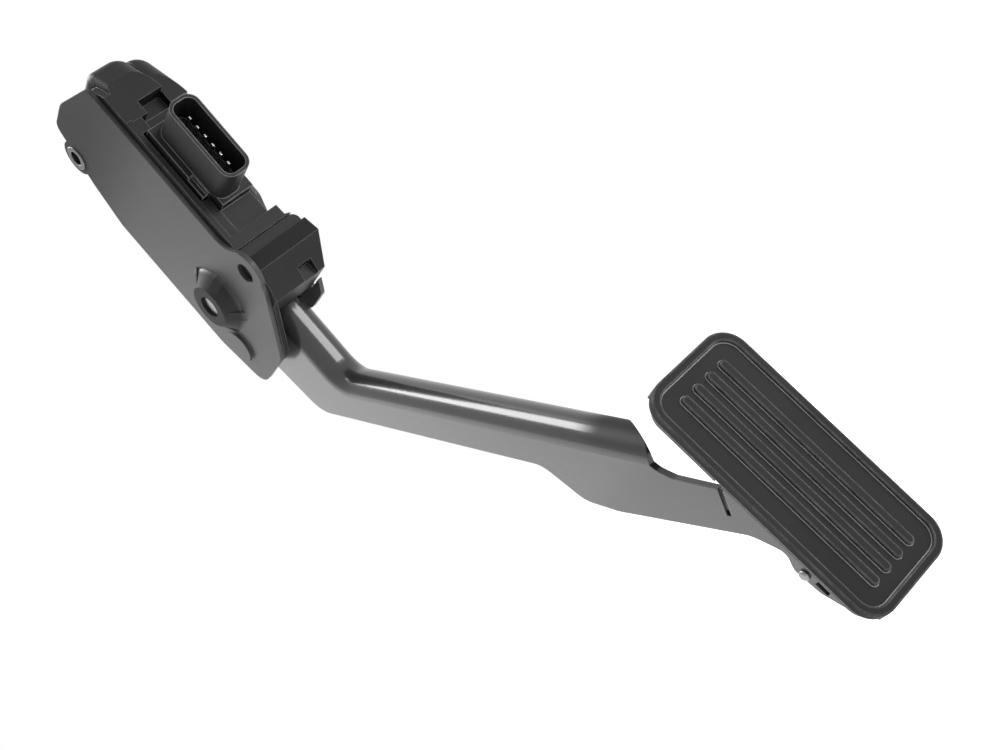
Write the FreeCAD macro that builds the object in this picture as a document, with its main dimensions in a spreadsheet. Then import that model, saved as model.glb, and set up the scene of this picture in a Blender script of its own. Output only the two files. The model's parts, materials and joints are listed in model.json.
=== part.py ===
import FreeCAD, Part
import math
import os
import re

import Sketcher

# An accelerator pedal with its position sensor, in millimetres.
# The origin is the centre of the bolt hole in the bracket's front tab, on the outer face of the near plate.
# X points to the driver, Y across the pedal from the near plate to the far one, Z up along the bracket.

SIZES = [
    # The folded bracket.
    ("pivot_x", -37, "pedal axis from the tab hole, towards the driver"),
    ("pivot_z", 4, "pedal axis above the tab hole"),
    ("plate_sheet", 2, "sheet of the bracket"),
    ("bracket_wide", 29.6, "bracket across both plates"),
    ("plate_back", 30, "back edge of the plates behind the pedal axis"),
    ("plate_front", 36, "front edge of the plates before the pedal axis"),
    ("plate_top", 102, "top of the near plate above the pedal axis"),
    ("plate_low", 36, "bottom of the near plate below the pedal axis"),
    ("tab_round", 9.5, "round of the front tab about its hole"),
    ("tab_bore", 4.3, "radius of the bolt hole in the front tab"),
    ("foot_in", 6, "foot corner of the near plate before its back edge"),
    ("toe_out", 7, "toe corner of the near plate before the pedal axis"),
    ("chin_out", 8.5, "chin corner under the tab before the front edge"),
    ("chin_low", 11.3, "chin corner under the tab below the pedal axis"),
    ("brow_drop", 11, "front end of the near plate's top below its crest"),
    ("crest_out", 6, "crest of the near plate before the pedal axis"),
    ("nape_back", 12.5, "rear end of the near plate's top behind the pedal axis"),
    ("neck_drop", 12, "neck of the near plate below the upper sleeve"),
    ("plate_round", 5.5, "rounding of the near plate's upper corners"),
    ("foot_round", 8, "rounding of the near plate's foot"),
    ("toe_round", 16, "rounding of the near plate's toe and heel"),
    ("crest_round", 20, "rounding of the near plate's crest"),
    ("heel_drop", 4, "heel of the near plate below the back web"),
    ("tab_blend", 14, "blend of the front edge into the tab"),
    ("sleeve_back", 19, "upper sleeve behind the pedal axis"),
    ("sleeve_up", 87.5, "upper sleeve above the pedal axis"),
    ("sleeve_rim", 2.5, "sheet left round the upper sleeve"),
    ("sleeve_bore", 3.3, "radius of the bolt hole in the upper sleeve"),
    ("sleeve_wall", 2.2, "wall of the upper sleeve"),
    ("sleeve_out", 0.6, "end of the upper sleeve before the near plate"),
    ("boss_rise", 6, "height of the pressed pivot boss"),
    ("boss_base", 15, "radius of the pressed pivot boss at the plate"),
    ("boss_top", 9.5, "radius of the pressed pivot boss at its face"),
    ("star_wide", 5, "width of the pressed ribs on the pivot boss"),
    ("star_turn", 15, "turn of the first pressed rib in degrees"),
    ("star_out", 1.2, "ribs outside the foot of the pivot boss"),
    ("star_drop", 0.5, "ribs below the face of the pivot boss"),
    ("dimple_round", 7.5, "radius of the pressed dimple below the pivot boss"),
    ("dimple_rise", 1.4, "height of the pressed dimple"),
    ("dimple_back", 17, "pressed dimple behind the pedal axis"),
    ("dimple_low", 18, "pressed dimple below the pedal axis"),
    ("vent_back", 24.4, "narrow slot behind the pedal axis"),
    ("vent_wide", 2.2, "width of the narrow slot"),
    ("vent_tall", 11, "length of the narrow slot"),
    ("far_in", 4, "front edge of the far plate behind that of the near plate"),
    ("far_low", 26, "bottom of the far plate below the pedal axis"),
    ("hook_front", 25, "front of the far plate's hook before the pedal axis"),
    ("hook_in", 7, "lower end of the hook behind its front"),
    ("far_keel", 3, "start of the far plate's bottom before the pedal axis"),
    ("far_bank", 10, "lower rear corner of the far plate behind the pedal axis"),
    ("far_bank_up", 5, "lower rear corner of the far plate above its bottom"),
    ("far_slope", 14, "slope along the far plate's upper front corner"),
    ("far_slope_drop", 8, "drop of the far plate's upper front corner"),
    ("far_cove", 6, "slope of the far plate's lower front corner"),
    ("far_round", 5, "rounding of the far plate's front corners"),
    ("room_over", 1.5, "far plate above the stop block"),
    ("room_behind", 2, "far plate behind the stop block"),
    ("web_low", 6, "lower end of the back web below the pedal axis"),
    ("web_top", 56, "upper end of the back web above the pedal axis"),
    ("web_high", 66, "top of the far plate above the pedal axis"),
    # The moulded housing.
    ("wall_mould", 2.4, "wall of the housing inside the near plate"),
    ("band_out", 4, "housing edge that stands out before the near plate"),
    ("edge_out", 1, "housing's lower edge that stands out before the near plate"),
    ("wall_chin", 17, "chin of the housing's wall below the pedal axis"),
    ("head_low", 69, "lower face of the head block above the pedal axis"),
    ("head_front", 39.5, "front face of the head block before the pedal axis"),
    ("head_far", 33.4, "far face of the head block from the near plate"),
    ("head_back", 25.5, "rear face of the head block behind the pedal axis"),
    ("head_split", 24.5, "step between the head's two lobes from the near plate"),
    ("lobe_near", 5, "near side of the head's tall lobe from the near plate"),
    ("lobe_top", 97, "front of the tall lobe's top above the pedal axis"),
    ("lobe_face", 87, "upper end of the head's flat front above the pedal axis"),
    ("lobe_round", 8.4, "rounding along the lobes' far upper edges"),
    ("far_lobe_top", 95, "front of the far lobe's top above the pedal axis"),
    ("far_lobe_in", 4, "front of the far lobe behind the head's front"),
    ("lobe_slope", 6, "slope of the lobes' fronts towards the back"),
    ("notch_deep", 9, "depth of the notch under the head"),
    ("notch_high", 6, "height of the notch under the head"),
    ("notch_near", 12, "near side of the notch from the near plate"),
    ("shelf_far", 8.6, "far side of the blocks on the housing's front edge"),
    ("shelf_high", 28, "upper end of the lower block above the pedal axis"),
    ("shelf_out", 2.5, "lower block before the near plate"),
    ("shelf_drop", 6, "height of the upper block under the head"),
    ("stop_front", 43.5, "front face of the stop block before the pedal axis"),
    ("stop_back", 17.5, "rear face of the stop block before the pedal axis"),
    ("stop_low", 20.5, "lower face of the stop block below the pedal axis"),
    ("stop_high", 10.4, "upper face of the stop block above the pedal axis"),
    ("stop_far", 33.5, "far face of the stop block from the near plate"),
    ("stop_edge", 7.8, "edge of the stop block's front below the pedal axis"),
    ("stop_slope", 2.5, "slope of the stop block's upper front"),
    ("stop_lean", 5.5, "lean of the stop block's lower front"),
    ("groove_deep", 6, "depth of the groove across the stop block"),
    ("groove_low", 0.3, "lower side of the groove below the pedal axis"),
    ("groove_high", 4.6, "upper side of the groove above the pedal axis"),
    ("rib_far", 28, "far end of the stop block's upper rib from the near plate"),
    ("slot_near", 17, "near side of the slot under the stop block from the near plate"),
    ("slot_wide", 7, "width of the slot under the stop block"),
    ("slot_high", 5.8, "height of the slot under the stop block"),
    ("slot_deep", 7.5, "depth of the slot behind the stop block's front"),
    ("stop_taper", 6, "taper of the stop block's far end"),
    ("stop_round", 3.5, "rounding of the stop block's far upper edge"),
    ("bump_round", 3, "radius of the rest bumper"),
    ("bump_low", 17, "rest bumper below the pedal axis"),
    ("bump_deep", 4, "depth of the rest bumper in the stop block"),
    ("strip_thick", 1.1, "thickness of the full-travel strip"),
    ("strip_wide", 12, "width of the full-travel strip"),
    ("strip_high", 2, "upper end of the full-travel strip above the pedal axis"),
    # The pedal axis.
    ("pin_round", 5, "radius of the pivot pin"),
    ("pin_fit", 0.05, "radial running clearance on the pivot pin"),
    ("pin_sunk", 1.2, "end of the pivot pin behind the face of the boss"),
    ("pin_head", 2.2, "thickness of the pivot pin's head"),
    ("pin_brim", 3, "pivot pin's head outside its shank"),
    ("chamfer", 0.6, "chamfer on the ends of pins and rivets"),
    ("bush_room", 3, "room between the pivot bushes"),
    ("hub_out", 0.6, "hub tube outside the arm's walls"),
    ("bush_wall", 1, "wall of the pivot bushes"),
    ("hub_wall", 2, "wall of the hub tube"),
    ("gap", 0.3, "clearance between neighbours"),
    # The folded arm.
    ("arm_offset", 0.6, "arm off the middle of the room between the plates"),
    ("arm_wide", 15.4, "arm across its crown"),
    ("arm_sheet", 2.4, "sheet of the arm"),
    ("crown_out", 7, "crown axis before the pedal axis"),
    ("crown_top", 15, "upper end of the crown below the pedal axis"),
    ("arm_drop", 61.5, "bend of the crown below the pedal axis"),
    ("bend_turn", 60, "turn of the arm in degrees"),
    ("bend_round", 18, "radius of the crown axis in the bend"),
    ("crown_run", 175, "bend to the end of the crown's ridge"),
    ("crown_end", 3.5, "rounded end of the crown beyond its ridge"),
    ("trim_run", 22, "slant of the crown's end from the near wall to the far one"),
    ("blade_run", 187, "bend to the straight top edge of the blade"),
    ("slit_run", 206, "bend to the relief slit"),
    ("slit_wide", 1.8, "width of the relief slit"),
    ("slit_deep", 14, "end of the relief slit below the crown axis"),
    ("cheek_out", 5, "front edge of the cheeks before the crown axis"),
    ("cheek_start", 4, "lower end of the cheeks' front above the crown's end"),
    ("cheek_front", 6, "upper end of the cheeks' front above the pedal axis"),
    ("cheek_rise", 8, "top of the cheeks above the pedal axis"),
    ("cheek_slope", 4, "slope at the cheeks' rear corner"),
    ("cheek_round", 6, "rounding of the cheeks"),
    ("rear_drop", 30, "lower end of the arm's rear edge below the pedal axis"),
    ("tip_out", 1.5, "front of the lever's tip before the pedal axis"),
    ("tip_rear", 12, "rear of the lever's tip behind the pedal axis"),
    ("tip_over", 6, "lever's tip above the drive pin"),
    ("tip_round", 5, "rounding of the lever's tip"),
    ("lever_low", 11, "foot of the lever above the pedal axis"),
    ("elbow_run", 22, "elbow of the arm's lower edge behind the bend"),
    ("elbow_round", 14, "rounding of the elbow"),
    ("cheek_back", 23.4, "rear edge of the arm behind the pedal axis"),
    ("wall_deep", 12, "walls of the lower arm below the crown axis"),
    ("bulge_run", 152, "deepest place of the blade from the bend"),
    ("bulge_deep", 25.2, "deepest place of the blade below the crown axis"),
    ("bulge_lead", 32, "start of the bulge before its deepest place"),
    ("bulge_slope", 1, "rise of the bulge towards its start"),
    ("bulge_round", 12, "rounding of the bulge"),
    ("blade_top", 3.6, "top edge of the blade below the crown axis"),
    ("pin_reach", 30, "drive pin from the pedal axis"),
    ("half_travel", 9, "half of the pedal's travel in degrees"),
    ("drive_round", 2.5, "radius of the drive pin"),
    # The tread.
    ("pad_x", 193, "tread face centre before the pedal axis"),
    ("pad_z", 178.8, "tread face centre below the pedal axis"),
    ("pad_lean", 10.4, "lean of the tread in degrees"),
    ("pad_wide", 42.8, "tread across"),
    ("pad_tall", 96.4, "tread from end to end"),
    ("pad_near", 8, "near edge of the tread from the near plate"),
    ("pad_round", 9.5, "corner radius of the tread"),
    ("ear_low", 10.2, "lower end of the ear above the end of the tread"),
    ("ear_out", 5, "ear behind the flange"),
    ("ear_tall", 18, "upper end of the ear above its lower end"),
    ("ear_foot", 8, "lower corner of the ear above its lower end"),
    ("ear_round", 4, "rounding of the ear"),
    ("rivet_up", 15, "rivet above the lower end of the ear"),
    ("rivet_in", 2.4, "rivet behind the flange"),
    ("rivet_round", 1.5, "radius of the rivet's shank"),
    ("rivet_brim", 0.4, "rivet's heads outside its shank"),
    ("rivet_head", 1.3, "thickness of the rivet's near head"),
    ("rivet_tail", 0.8, "thickness of the rivet's far head"),
    ("window_up", 6, "small window above the lower end of the ear"),
    ("window_tall", 5, "height of the small window"),
    ("window_wide", 2.2, "width of the small window"),
    ("waist_out", 1, "waist of the blade behind the flange"),
    ("waist_up", 23.5, "waist of the blade above the lower end of the ear"),
    ("neck_out", 8, "neck of the blade behind the flange"),
    ("neck_up", 34, "neck of the blade above the lower end of the ear"),
    ("neck_round", 16, "rounding of the neck"),
    ("root_up", 11.5, "blade's top above the tread's centre where it meets the flange"),
    ("rib_round", 0.6, "rounding of the ribs and the border"),
    ("pad_skin", 1.8, "rubber under the ribs"),
    ("rib_rise", 1.3, "height of the ribs and the border"),
    ("rib_wide", 3.4, "width of a rib"),
    ("rib_step", 6.4, "ribs from one to the next"),
    ("rib_end", 5, "ends of the ribs inside the border"),
    ("back_open", 6, "near edge of the tread that is open behind"),
    ("mouth_in", 4, "rubber lip behind the flange's edges"),
    ("border_wide", 3.2, "width of the raised border"),
    ("lip_wide", 2.5, "rubber outside the flange's edge"),
    ("lip_back", 1.6, "rubber lip behind the flange"),
    # The position sensor.
    ("rotor_up", 55, "rotor axis above the pedal axis"),
    ("shaft_round", 4, "radius of the rotor's shaft"),
    ("rotor_round", 9, "radius of the rotor's disc"),
    ("fork_wide", 5, "width of each fork tine"),
    ("fork_fit", 0.2, "clearance of the drive pin in the fork on each side"),
    ("case_wall", 2, "wall of the sensor case"),
    ("case_deep", 7.6, "depth of the sensor case"),
    ("case_back", 15, "sensor case behind the rotor axis"),
    ("case_front", 18.5, "sensor case before the rotor axis"),
    ("case_drop", 16, "sensor case below the rotor axis"),
    ("case_rise", 12, "sensor case above the rotor axis"),
    ("case_round", 5, "rounding of the sensor case's rear corners"),
    ("chamber_room", 2, "chamber round the rotor's disc"),
    ("base_gap", 1.2, "sensor base from the housing's wall"),
    ("base_out", 1.5, "foot of the sensor base before the near plate"),
    ("base_step", 11, "step of the sensor base above its foot"),
    ("base_drop", 7, "upper end of the base's front below the head"),
    ("base_in", 5, "upper part of the base behind the front of the near plate"),
    ("base_floor", 3, "sensor base behind the connector's floor"),
    ("ledge_deep", 2, "depth of the cut in the base's near edge"),
    ("ledge_low", 4, "upper end of that cut below the connector's axis"),
    ("magnet_thick", 2, "thickness of the magnet"),
    ("magnet_in", 2.5, "magnet inside the rotor's disc"),
    ("board_thick", 1.2, "thickness of the circuit board"),
    ("board_flat", 3, "flat on the circuit board"),
    ("seal_wide", 1.6, "width of the seal"),
    ("rotor_thick", 4, "thickness of the rotor's disc"),
    ("tine_round", 2.5, "rounding of the fork's tines"),
    ("tine_over", 1.5, "fork beyond the drive pin"),
    ("screw_in", 3.5, "screws inside the sensor case's corners"),
    ("screw_deep", 4.5, "screws below the rim of the sensor case"),
    ("screw_head", 1.8, "thickness of the screws' heads"),
    ("cover_thick", 1.9, "thickness of the sensor's cover"),
    ("seal_thick", 0.5, "thickness of the seal under the cover"),
    ("plug_middle_y", 15, "connector axis from the near plate"),
    ("plug_middle_z", 41.8, "connector axis above the pedal axis"),
    ("plug_tall", 37.2, "connector shroud from end to end"),
    ("plug_wide", 13.4, "connector shroud across"),
    ("plug_round", 5, "corner radius of the connector shroud"),
    ("plug_wall", 1.5, "wall of the connector shroud"),
    ("plug_rim", 62.5, "rim of the connector shroud before the pedal axis"),
    ("plug_floor", 46, "floor of the connector shroud before the pedal axis"),
    ("terminal_step", 4.5, "terminals from one to the next"),
    ("terminal_wide", 1.5, "width of a terminal"),
    ("terminal_thick", 0.8, "thickness of a terminal"),
    ("terminal_off", 1.2, "terminals beside the connector's axis"),
    ("terminal_out", 11, "terminals before the connector's floor"),
    ("terminal_root", 4, "terminals behind the connector's floor"),
    ("screw_round", 1.5, "radius of the screw shanks"),
    # The return springs.
    ("outer_wire", 2, "wire of the outer return spring"),
    ("inner_wire", 1.4, "wire of the inner return spring"),
    ("seat_step", 3.8, "depth of each step of the springs' seat"),
    ("outer_short", 4, "outer spring's rear leg short of the web"),
    ("inner_short", 0.5, "inner spring's rear leg short of the web"),
    ("leg_short", 2, "front legs short of the crown"),
]
NAMES = [name for name, value, note in SIZES]

# Places that follow from the sizes.
DERIVED = {
    "arm_middle": "((wall_mould + bracket_wide) / 2 + arm_offset)",
    "ear_end": "(pad_tall / 2 - ear_low)",
}

doc = FreeCAD.newDocument("accelerator_pedal")
sheet = doc.addObject("Spreadsheet::Sheet", "Sizes")
for row, (name, value, note) in enumerate(SIZES, start=1):
    sheet.set(f"A{row}", note)
    sheet.set(f"B{row}", str(value))
    sheet.setAlias(f"B{row}", name)
doc.recompute()

PARTS = []
NEAR = 1e-4


def plain(text):
    """The formula with each derived place written out in sizes."""
    return re.sub(r"[a-z]\w*", lambda word: DERIVED.get(word[0], word[0]), text)


def bound(text):
    """The formula with each size named through the sheet."""
    return re.sub(r"[a-z]\w*", lambda word: f"Sizes.{word[0]}" if word[0] in NAMES else word[0], plain(text))


def size(text):
    """The present value of a formula."""
    return float(sheet.evalExpression(plain(text)))


def from_pivot(ahead, up):
    """A place in the side view, measured from the pedal axis."""
    return f"pivot_x + {ahead}", f"pivot_z + {up}"


def along_arm(run, rise):
    """A place in the side view, measured from the bend along the lower arm and square to it."""
    across = f"pivot_x + crown_out + ({run}) * sin(bend_turn) + ({rise}) * cos(bend_turn)"
    height = f"pivot_z - arm_drop - ({run}) * cos(bend_turn) + ({rise}) * sin(bend_turn)"
    return across, height


def on_tread(out, up):
    """A place in the side view, measured from the tread face square to it and along it."""
    across = f"pivot_x + pad_x + ({out}) * cos(pad_lean) - ({up}) * sin(pad_lean)"
    height = f"pivot_z - pad_z + ({out}) * sin(pad_lean) + ({up}) * cos(pad_lean)"
    return across, height


def rectangle(left, right, low, high):
    return [(left, low), (right, low), (right, high), (left, high)]


def side_box(back, front, low, high):
    """A rectangle in the side view, measured from the pedal axis."""
    return [from_pivot(back, low), from_pivot(front, low), from_pivot(front, high), from_pivot(back, high)]


class Piece:
    """One sub-part: a body whose sketches take their sizes from the sheet.

    The side view is seen along Y, the front view along X and the top view along Z.
    """

    PLANES = {"side": "XZ_Plane", "front": "YZ_Plane", "top": "XY_Plane"}

    def __init__(self, label):
        self.body = doc.addObject("PartDesign::Body", label)
        self.body.Label = label
        PARTS.append(self.body)

    def settle(self):
        """Rebuilds the body and stops at a feature that fails."""
        doc.recompute()
        for item in self.body.Group:
            if "Invalid" in item.State or "Error" in item.State:
                raise ValueError(f"{item.Label} failed")

    def sketch(self, view, level, lean=None, shift=("0", "0")):
        """A sketch in a view, set at a level along the viewing axis."""
        outline = self.body.newObject("Sketcher::SketchObject", f"{self.body.Label}_sketch")
        planes = self.body.Origin.OriginFeatures
        outline.AttachmentSupport = ([plane for plane in planes if plane.Role == self.PLANES[view]][0], [""])
        outline.MapMode = "FlatFace"
        if lean:
            turn = FreeCAD.Rotation(FreeCAD.Vector(-1, 0, 0), size(lean))
            outline.AttachmentOffset = FreeCAD.Placement(FreeCAD.Vector(), turn)
            outline.setExpression("AttachmentOffset.Rotation.Angle", bound(lean))
        outline.setExpression("AttachmentOffset.Base.x", bound(shift[0]))
        outline.setExpression("AttachmentOffset.Base.y", bound(shift[1]))
        outline.setExpression("AttachmentOffset.Base.z", bound(f"-({level})" if view == "side" else level))
        return outline

    def polygon(self, outline, corners):
        """A closed outline of straight runs between corners given as formulas."""
        first = outline.GeometryCount
        count = len(corners)
        points = [FreeCAD.Vector(size(across), size(up), 0) for across, up in corners]
        for place in range(count):
            outline.addGeometry(Part.LineSegment(points[place], points[(place + 1) % count]))
        for place in range(count):
            following = first + (place + 1) % count
            outline.addConstraint(Sketcher.Constraint("Coincident", first + place, 2, following, 1))
        for place, corner in enumerate(corners):
            self.fix(outline, first + place, 1, corner)

    def circle(self, outline, centre, radius):
        middle = FreeCAD.Vector(size(centre[0]), size(centre[1]), 0)
        ring = outline.addGeometry(Part.Circle(middle, FreeCAD.Vector(0, 0, 1), size(radius)))
        index = outline.addConstraint(Sketcher.Constraint("Radius", ring, size(radius)))
        outline.setExpression(f"Constraints[{index}]", bound(radius))
        self.fix(outline, ring, 3, centre)

    def slot(self, outline, centre, length, width):
        """An upright slot with round ends."""
        radius = size(f"({width}) / 2")
        reach = size(f"({length} - ({width})) / 2")
        middle = FreeCAD.Vector(size(centre[0]), size(centre[1]), 0)
        side = FreeCAD.Vector(radius, 0, 0)
        lift = FreeCAD.Vector(0, reach, 0)
        ends = []
        for sign, angle in ((1, 0), (-1, math.pi)):
            circle = Part.Circle(middle + lift * sign, FreeCAD.Vector(0, 0, 1), radius)
            ends.append(outline.addGeometry(Part.ArcOfCircle(circle, angle, angle + math.pi)))
        left = outline.addGeometry(Part.LineSegment(middle + lift - side, middle - lift - side))
        right = outline.addGeometry(Part.LineSegment(middle - lift + side, middle + lift + side))
        for first, following in ((ends[0], left), (left, ends[1]), (ends[1], right), (right, ends[0])):
            outline.addConstraint(Sketcher.Constraint("Tangent", first, 2, following, 1))
        index = outline.addConstraint(Sketcher.Constraint("Radius", ends[0], radius))
        outline.setExpression(f"Constraints[{index}]", bound(f"({width}) / 2"))
        outline.addConstraint(Sketcher.Constraint("Equal", ends[0], ends[1]))
        self.fix(outline, ends[0], 3, (centre[0], f"{centre[1]} + ({length} - ({width})) / 2"))
        self.fix(outline, ends[1], 3, (centre[0], f"{centre[1]} - ({length} - ({width})) / 2"))

    def fix(self, outline, geometry, end, place):
        """Holds a point of the sketch at a place given as two formulas."""
        for kind, text in zip(("DistanceX", "DistanceY"), place):
            index = outline.addConstraint(Sketcher.Constraint(kind, -1, 1, geometry, end, size(text)))
            outline.setExpression(f"Constraints[{index}]", bound(text))

    def pad(self, outline, low, high, away):
        pad = self.body.newObject("PartDesign::Pad", f"{self.body.Label}_pad")
        pad.Profile = outline
        pad.Reversed = away
        pad.setExpression("Length", bound(f"({high}) - ({low})"))
        self.settle()

    def pocket(self, outline, low, high, away):
        before = self.body.Shape.Volume
        pocket = self.body.newObject("PartDesign::Pocket", f"{self.body.Label}_pocket")
        pocket.Profile = outline
        pocket.Reversed = not away
        pocket.setExpression("Length", bound(f"({high}) - ({low})"))
        self.settle()
        if self.body.Shape.Volume > before - 0.01:
            raise ValueError(f"{self.body.Label}: a cut takes nothing away")

    def block(self, view, corners, low, high, place=None, **where):
        outline = self.sketch(view, place or low, **where)
        self.polygon(outline, corners)
        self.pad(outline, low, high, view == "side")

    def cut(self, view, corners, low, high, **where):
        outline = self.sketch(view, low, **where)
        self.polygon(outline, corners)
        self.pocket(outline, low, high, view == "side")

    def disc(self, view, centre, radius, low, high, **where):
        outline = self.sketch(view, low, **where)
        self.circle(outline, centre, radius)
        self.pad(outline, low, high, view == "side")

    def bore(self, view, centre, radius, low, high, **where):
        outline = self.sketch(view, low, **where)
        self.circle(outline, centre, radius)
        self.pocket(outline, low, high, view == "side")

    def slot_block(self, centre, length, width, low, high):
        """An upright slot of the front view, raised along X."""
        outline = self.sketch("front", low)
        self.slot(outline, centre, length, width)
        self.pad(outline, low, high, False)

    def turned(self, centre, corners):
        """A profile of radius and Y turned about an axis along Y through a place of the side view."""
        outline = self.body.newObject("Sketcher::SketchObject", f"{self.body.Label}_profile")
        planes = self.body.Origin.OriginFeatures
        outline.AttachmentSupport = ([plane for plane in planes if plane.Role == "XY_Plane"][0], [""])
        outline.MapMode = "FlatFace"
        outline.setExpression("AttachmentOffset.Base.x", bound(centre[0]))
        outline.setExpression("AttachmentOffset.Base.z", bound(centre[1]))
        self.polygon(outline, corners)
        turning = self.body.newObject("PartDesign::Revolution", f"{self.body.Label}_turned")
        turning.Profile = outline
        turning.ReferenceAxis = (outline, ["V_Axis"])
        self.settle()
        return outline

    def soften(self, axis, corners, radius):
        """Rounds the edges that run along an axis through corners of the view square to it."""
        direction = FreeCAD.Vector(*[float(place == axis) for place in range(3)])
        spots = []
        for corner in corners:
            values = [size(text) for text in corner]
            values.insert(axis, 0)
            spots.append(FreeCAD.Vector(*values))
        self.round_edges(self.edges_along(direction, spots), radius)

    def edges_along(self, direction, spots):
        """The straight edges that lie on the lines through spots along a direction."""
        names = []
        for number, edge in enumerate(self.body.Shape.Edges, start=1):
            if len(edge.Vertexes) == 2 and edge.Curve.TypeId == "Part::GeomLine":
                start, end = [vertex.Point for vertex in edge.Vertexes]
                level = (end - start).cross(direction).Length < NEAR
                if level and any((start - spot).cross(direction).Length < NEAR for spot in spots):
                    names.append(f"Edge{number}")
        return names

    def edges_at(self, axis, level):
        """The edges that lie wholly in a plane square to an axis."""
        names = []
        for number, edge in enumerate(self.body.Shape.Edges, start=1):
            box = edge.BoundBox
            low, high = ((box.XMin, box.XMax), (box.YMin, box.YMax), (box.ZMin, box.ZMax))[axis]
            if max(abs(low - level), abs(high - level)) < 0.001:
                names.append(f"Edge{number}")
        return names

    def round_edges(self, names, radius):
        if not names:
            raise ValueError(f"{self.body.Label}: no edge found to round")
        rounded = self.body.newObject("PartDesign::Fillet", f"{self.body.Label}_round")
        rounded.Base = (self.body.Tip if self.body.Tip != rounded else rounded.BaseFeature, names)
        rounded.setExpression("Radius", bound(radius))
        self.settle()

    def tread_block(self, corners, low, high):
        """A block square to the tread, between two levels measured from the tread face."""
        place = f"pivot_x + pad_x + ({low}) * cos(pad_lean)"
        shift = ("0", f"pivot_z - pad_z + ({low}) * sin(pad_lean)")
        self.block("front", corners, low, high, place=place, lean="pad_lean", shift=shift)

    def arm_cut(self, corners, low, high):
        """A cut seen square to the lower arm: corners of Y and run from the bend, levels of rise."""
        place = f"pivot_x + crown_out + ({low}) * cos(bend_turn)"
        shift = ("0", f"pivot_z - arm_drop + ({low}) * sin(bend_turn)")
        outline = self.sketch("front", place, lean="bend_turn", shift=shift)
        self.polygon(outline, [(across, f"-({run})") for across, run in corners])
        self.pocket(outline, low, high, False)

    def radial_rib(self, centre, turn, corners, width):
        """A rib in a plane through an axis along Y, turned about it, with a profile of radius and Y."""
        outline = self.body.newObject("Sketcher::SketchObject", f"{self.body.Label}_rib")
        planes = self.body.Origin.OriginFeatures
        outline.AttachmentSupport = ([plane for plane in planes if plane.Role == "XY_Plane"][0], [""])
        outline.MapMode = "FlatFace"
        about = FreeCAD.Rotation(FreeCAD.Vector(0, -1, 0), size(turn))
        outline.AttachmentOffset = FreeCAD.Placement(FreeCAD.Vector(), about)
        outline.setExpression("AttachmentOffset.Rotation.Angle", bound(turn))
        outline.setExpression("AttachmentOffset.Base.x", bound(centre[0]))
        outline.setExpression("AttachmentOffset.Base.z", bound(centre[1]))
        self.polygon(outline, corners)
        pad = self.body.newObject("PartDesign::Pad", f"{self.body.Label}_rib")
        pad.Profile = outline
        pad.SideType = "Symmetric"
        pad.setExpression("Length", bound(width))
        self.settle()

    def crown(self):
        """The half-round ridge of the arm, carried along the crown's axis."""
        ring = self.sketch("top", "pivot_z - crown_top")
        centre = ("pivot_x + crown_out", "arm_middle")
        middle = FreeCAD.Vector(size(centre[0]), size(centre[1]), 0)
        arcs = []
        for radius in ("arm_wide / 2", "arm_wide / 2 - arm_sheet"):
            circle = Part.Circle(middle, FreeCAD.Vector(0, 0, 1), size(radius))
            arc = ring.addGeometry(Part.ArcOfCircle(circle, -math.pi / 2, math.pi / 2))
            self.fix(ring, arc, 3, centre)
            index = ring.addConstraint(Sketcher.Constraint("Radius", arc, size(radius)))
            ring.setExpression(f"Constraints[{index}]", bound(radius))
            ring.addConstraint(Sketcher.Constraint("Vertical", arc, 3, arc, 1))
            ring.addConstraint(Sketcher.Constraint("Vertical", arc, 3, arc, 2))
            arcs.append(arc)
        for end, side in ((1, -1), (2, 1)):
            outer = FreeCAD.Vector(0, side * size("arm_wide / 2"), 0)
            inner = FreeCAD.Vector(0, side * size("arm_wide / 2 - arm_sheet"), 0)
            line = ring.addGeometry(Part.LineSegment(middle + outer, middle + inner))
            ring.addConstraint(Sketcher.Constraint("Coincident", line, 1, arcs[0], end))
            ring.addConstraint(Sketcher.Constraint("Coincident", line, 2, arcs[1], end))
        spine = self.sketch("side", "arm_middle")
        self.crown_axis(spine)
        pipe = self.body.newObject("PartDesign::AdditivePipe", f"{self.body.Label}_crown")
        pipe.Profile = ring
        pipe.Spine = (spine, [])
        self.settle()

    def crown_axis(self, spine):
        """Down the upper arm, round the bend and along the lower arm."""
        reach = "bend_round * tan(bend_turn / 2)"
        start = from_pivot("crown_out", "(-crown_top)")
        bend_in = from_pivot("crown_out", f"(-arm_drop + {reach})")
        bend_out = along_arm(reach, "0")
        end = along_arm("crown_run + 2 * crown_end", "0")
        centre = from_pivot("(crown_out + bend_round)", f"(-arm_drop + {reach})")
        places = (start, bend_in, bend_out, end, centre)
        spots = [FreeCAD.Vector(size(across), size(up), 0) for across, up in places]
        circle = Part.Circle(spots[4], FreeCAD.Vector(0, 0, 1), size("bend_round"))
        upper = spine.addGeometry(Part.LineSegment(spots[0], spots[1]))
        bend = spine.addGeometry(Part.ArcOfCircle(circle, math.pi, math.pi + math.radians(size("bend_turn"))))
        lower = spine.addGeometry(Part.LineSegment(spots[2], spots[3]))
        spine.addConstraint(Sketcher.Constraint("Tangent", upper, 2, bend, 1))
        spine.addConstraint(Sketcher.Constraint("Tangent", bend, 2, lower, 1))
        self.fix(spine, upper, 1, start)
        self.fix(spine, upper, 2, bend_in)
        self.fix(spine, lower, 1, bend_out)
        self.fix(spine, lower, 2, end[:1])

    def repeat(self, axis, length, count):
        """Copies the last feature along an axis of the body."""
        last = self.body.Tip
        pattern = self.body.newObject("PartDesign::LinearPattern", f"{self.body.Label}_row")
        pattern.Originals = [last]
        axes = self.body.Origin.OriginFeatures
        pattern.Direction = ([line for line in axes if line.Role == axis][0], [""])
        pattern.setExpression("Length", bound(length))
        pattern.Occurrences = count
        self.body.Tip = pattern
        self.settle()

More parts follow.
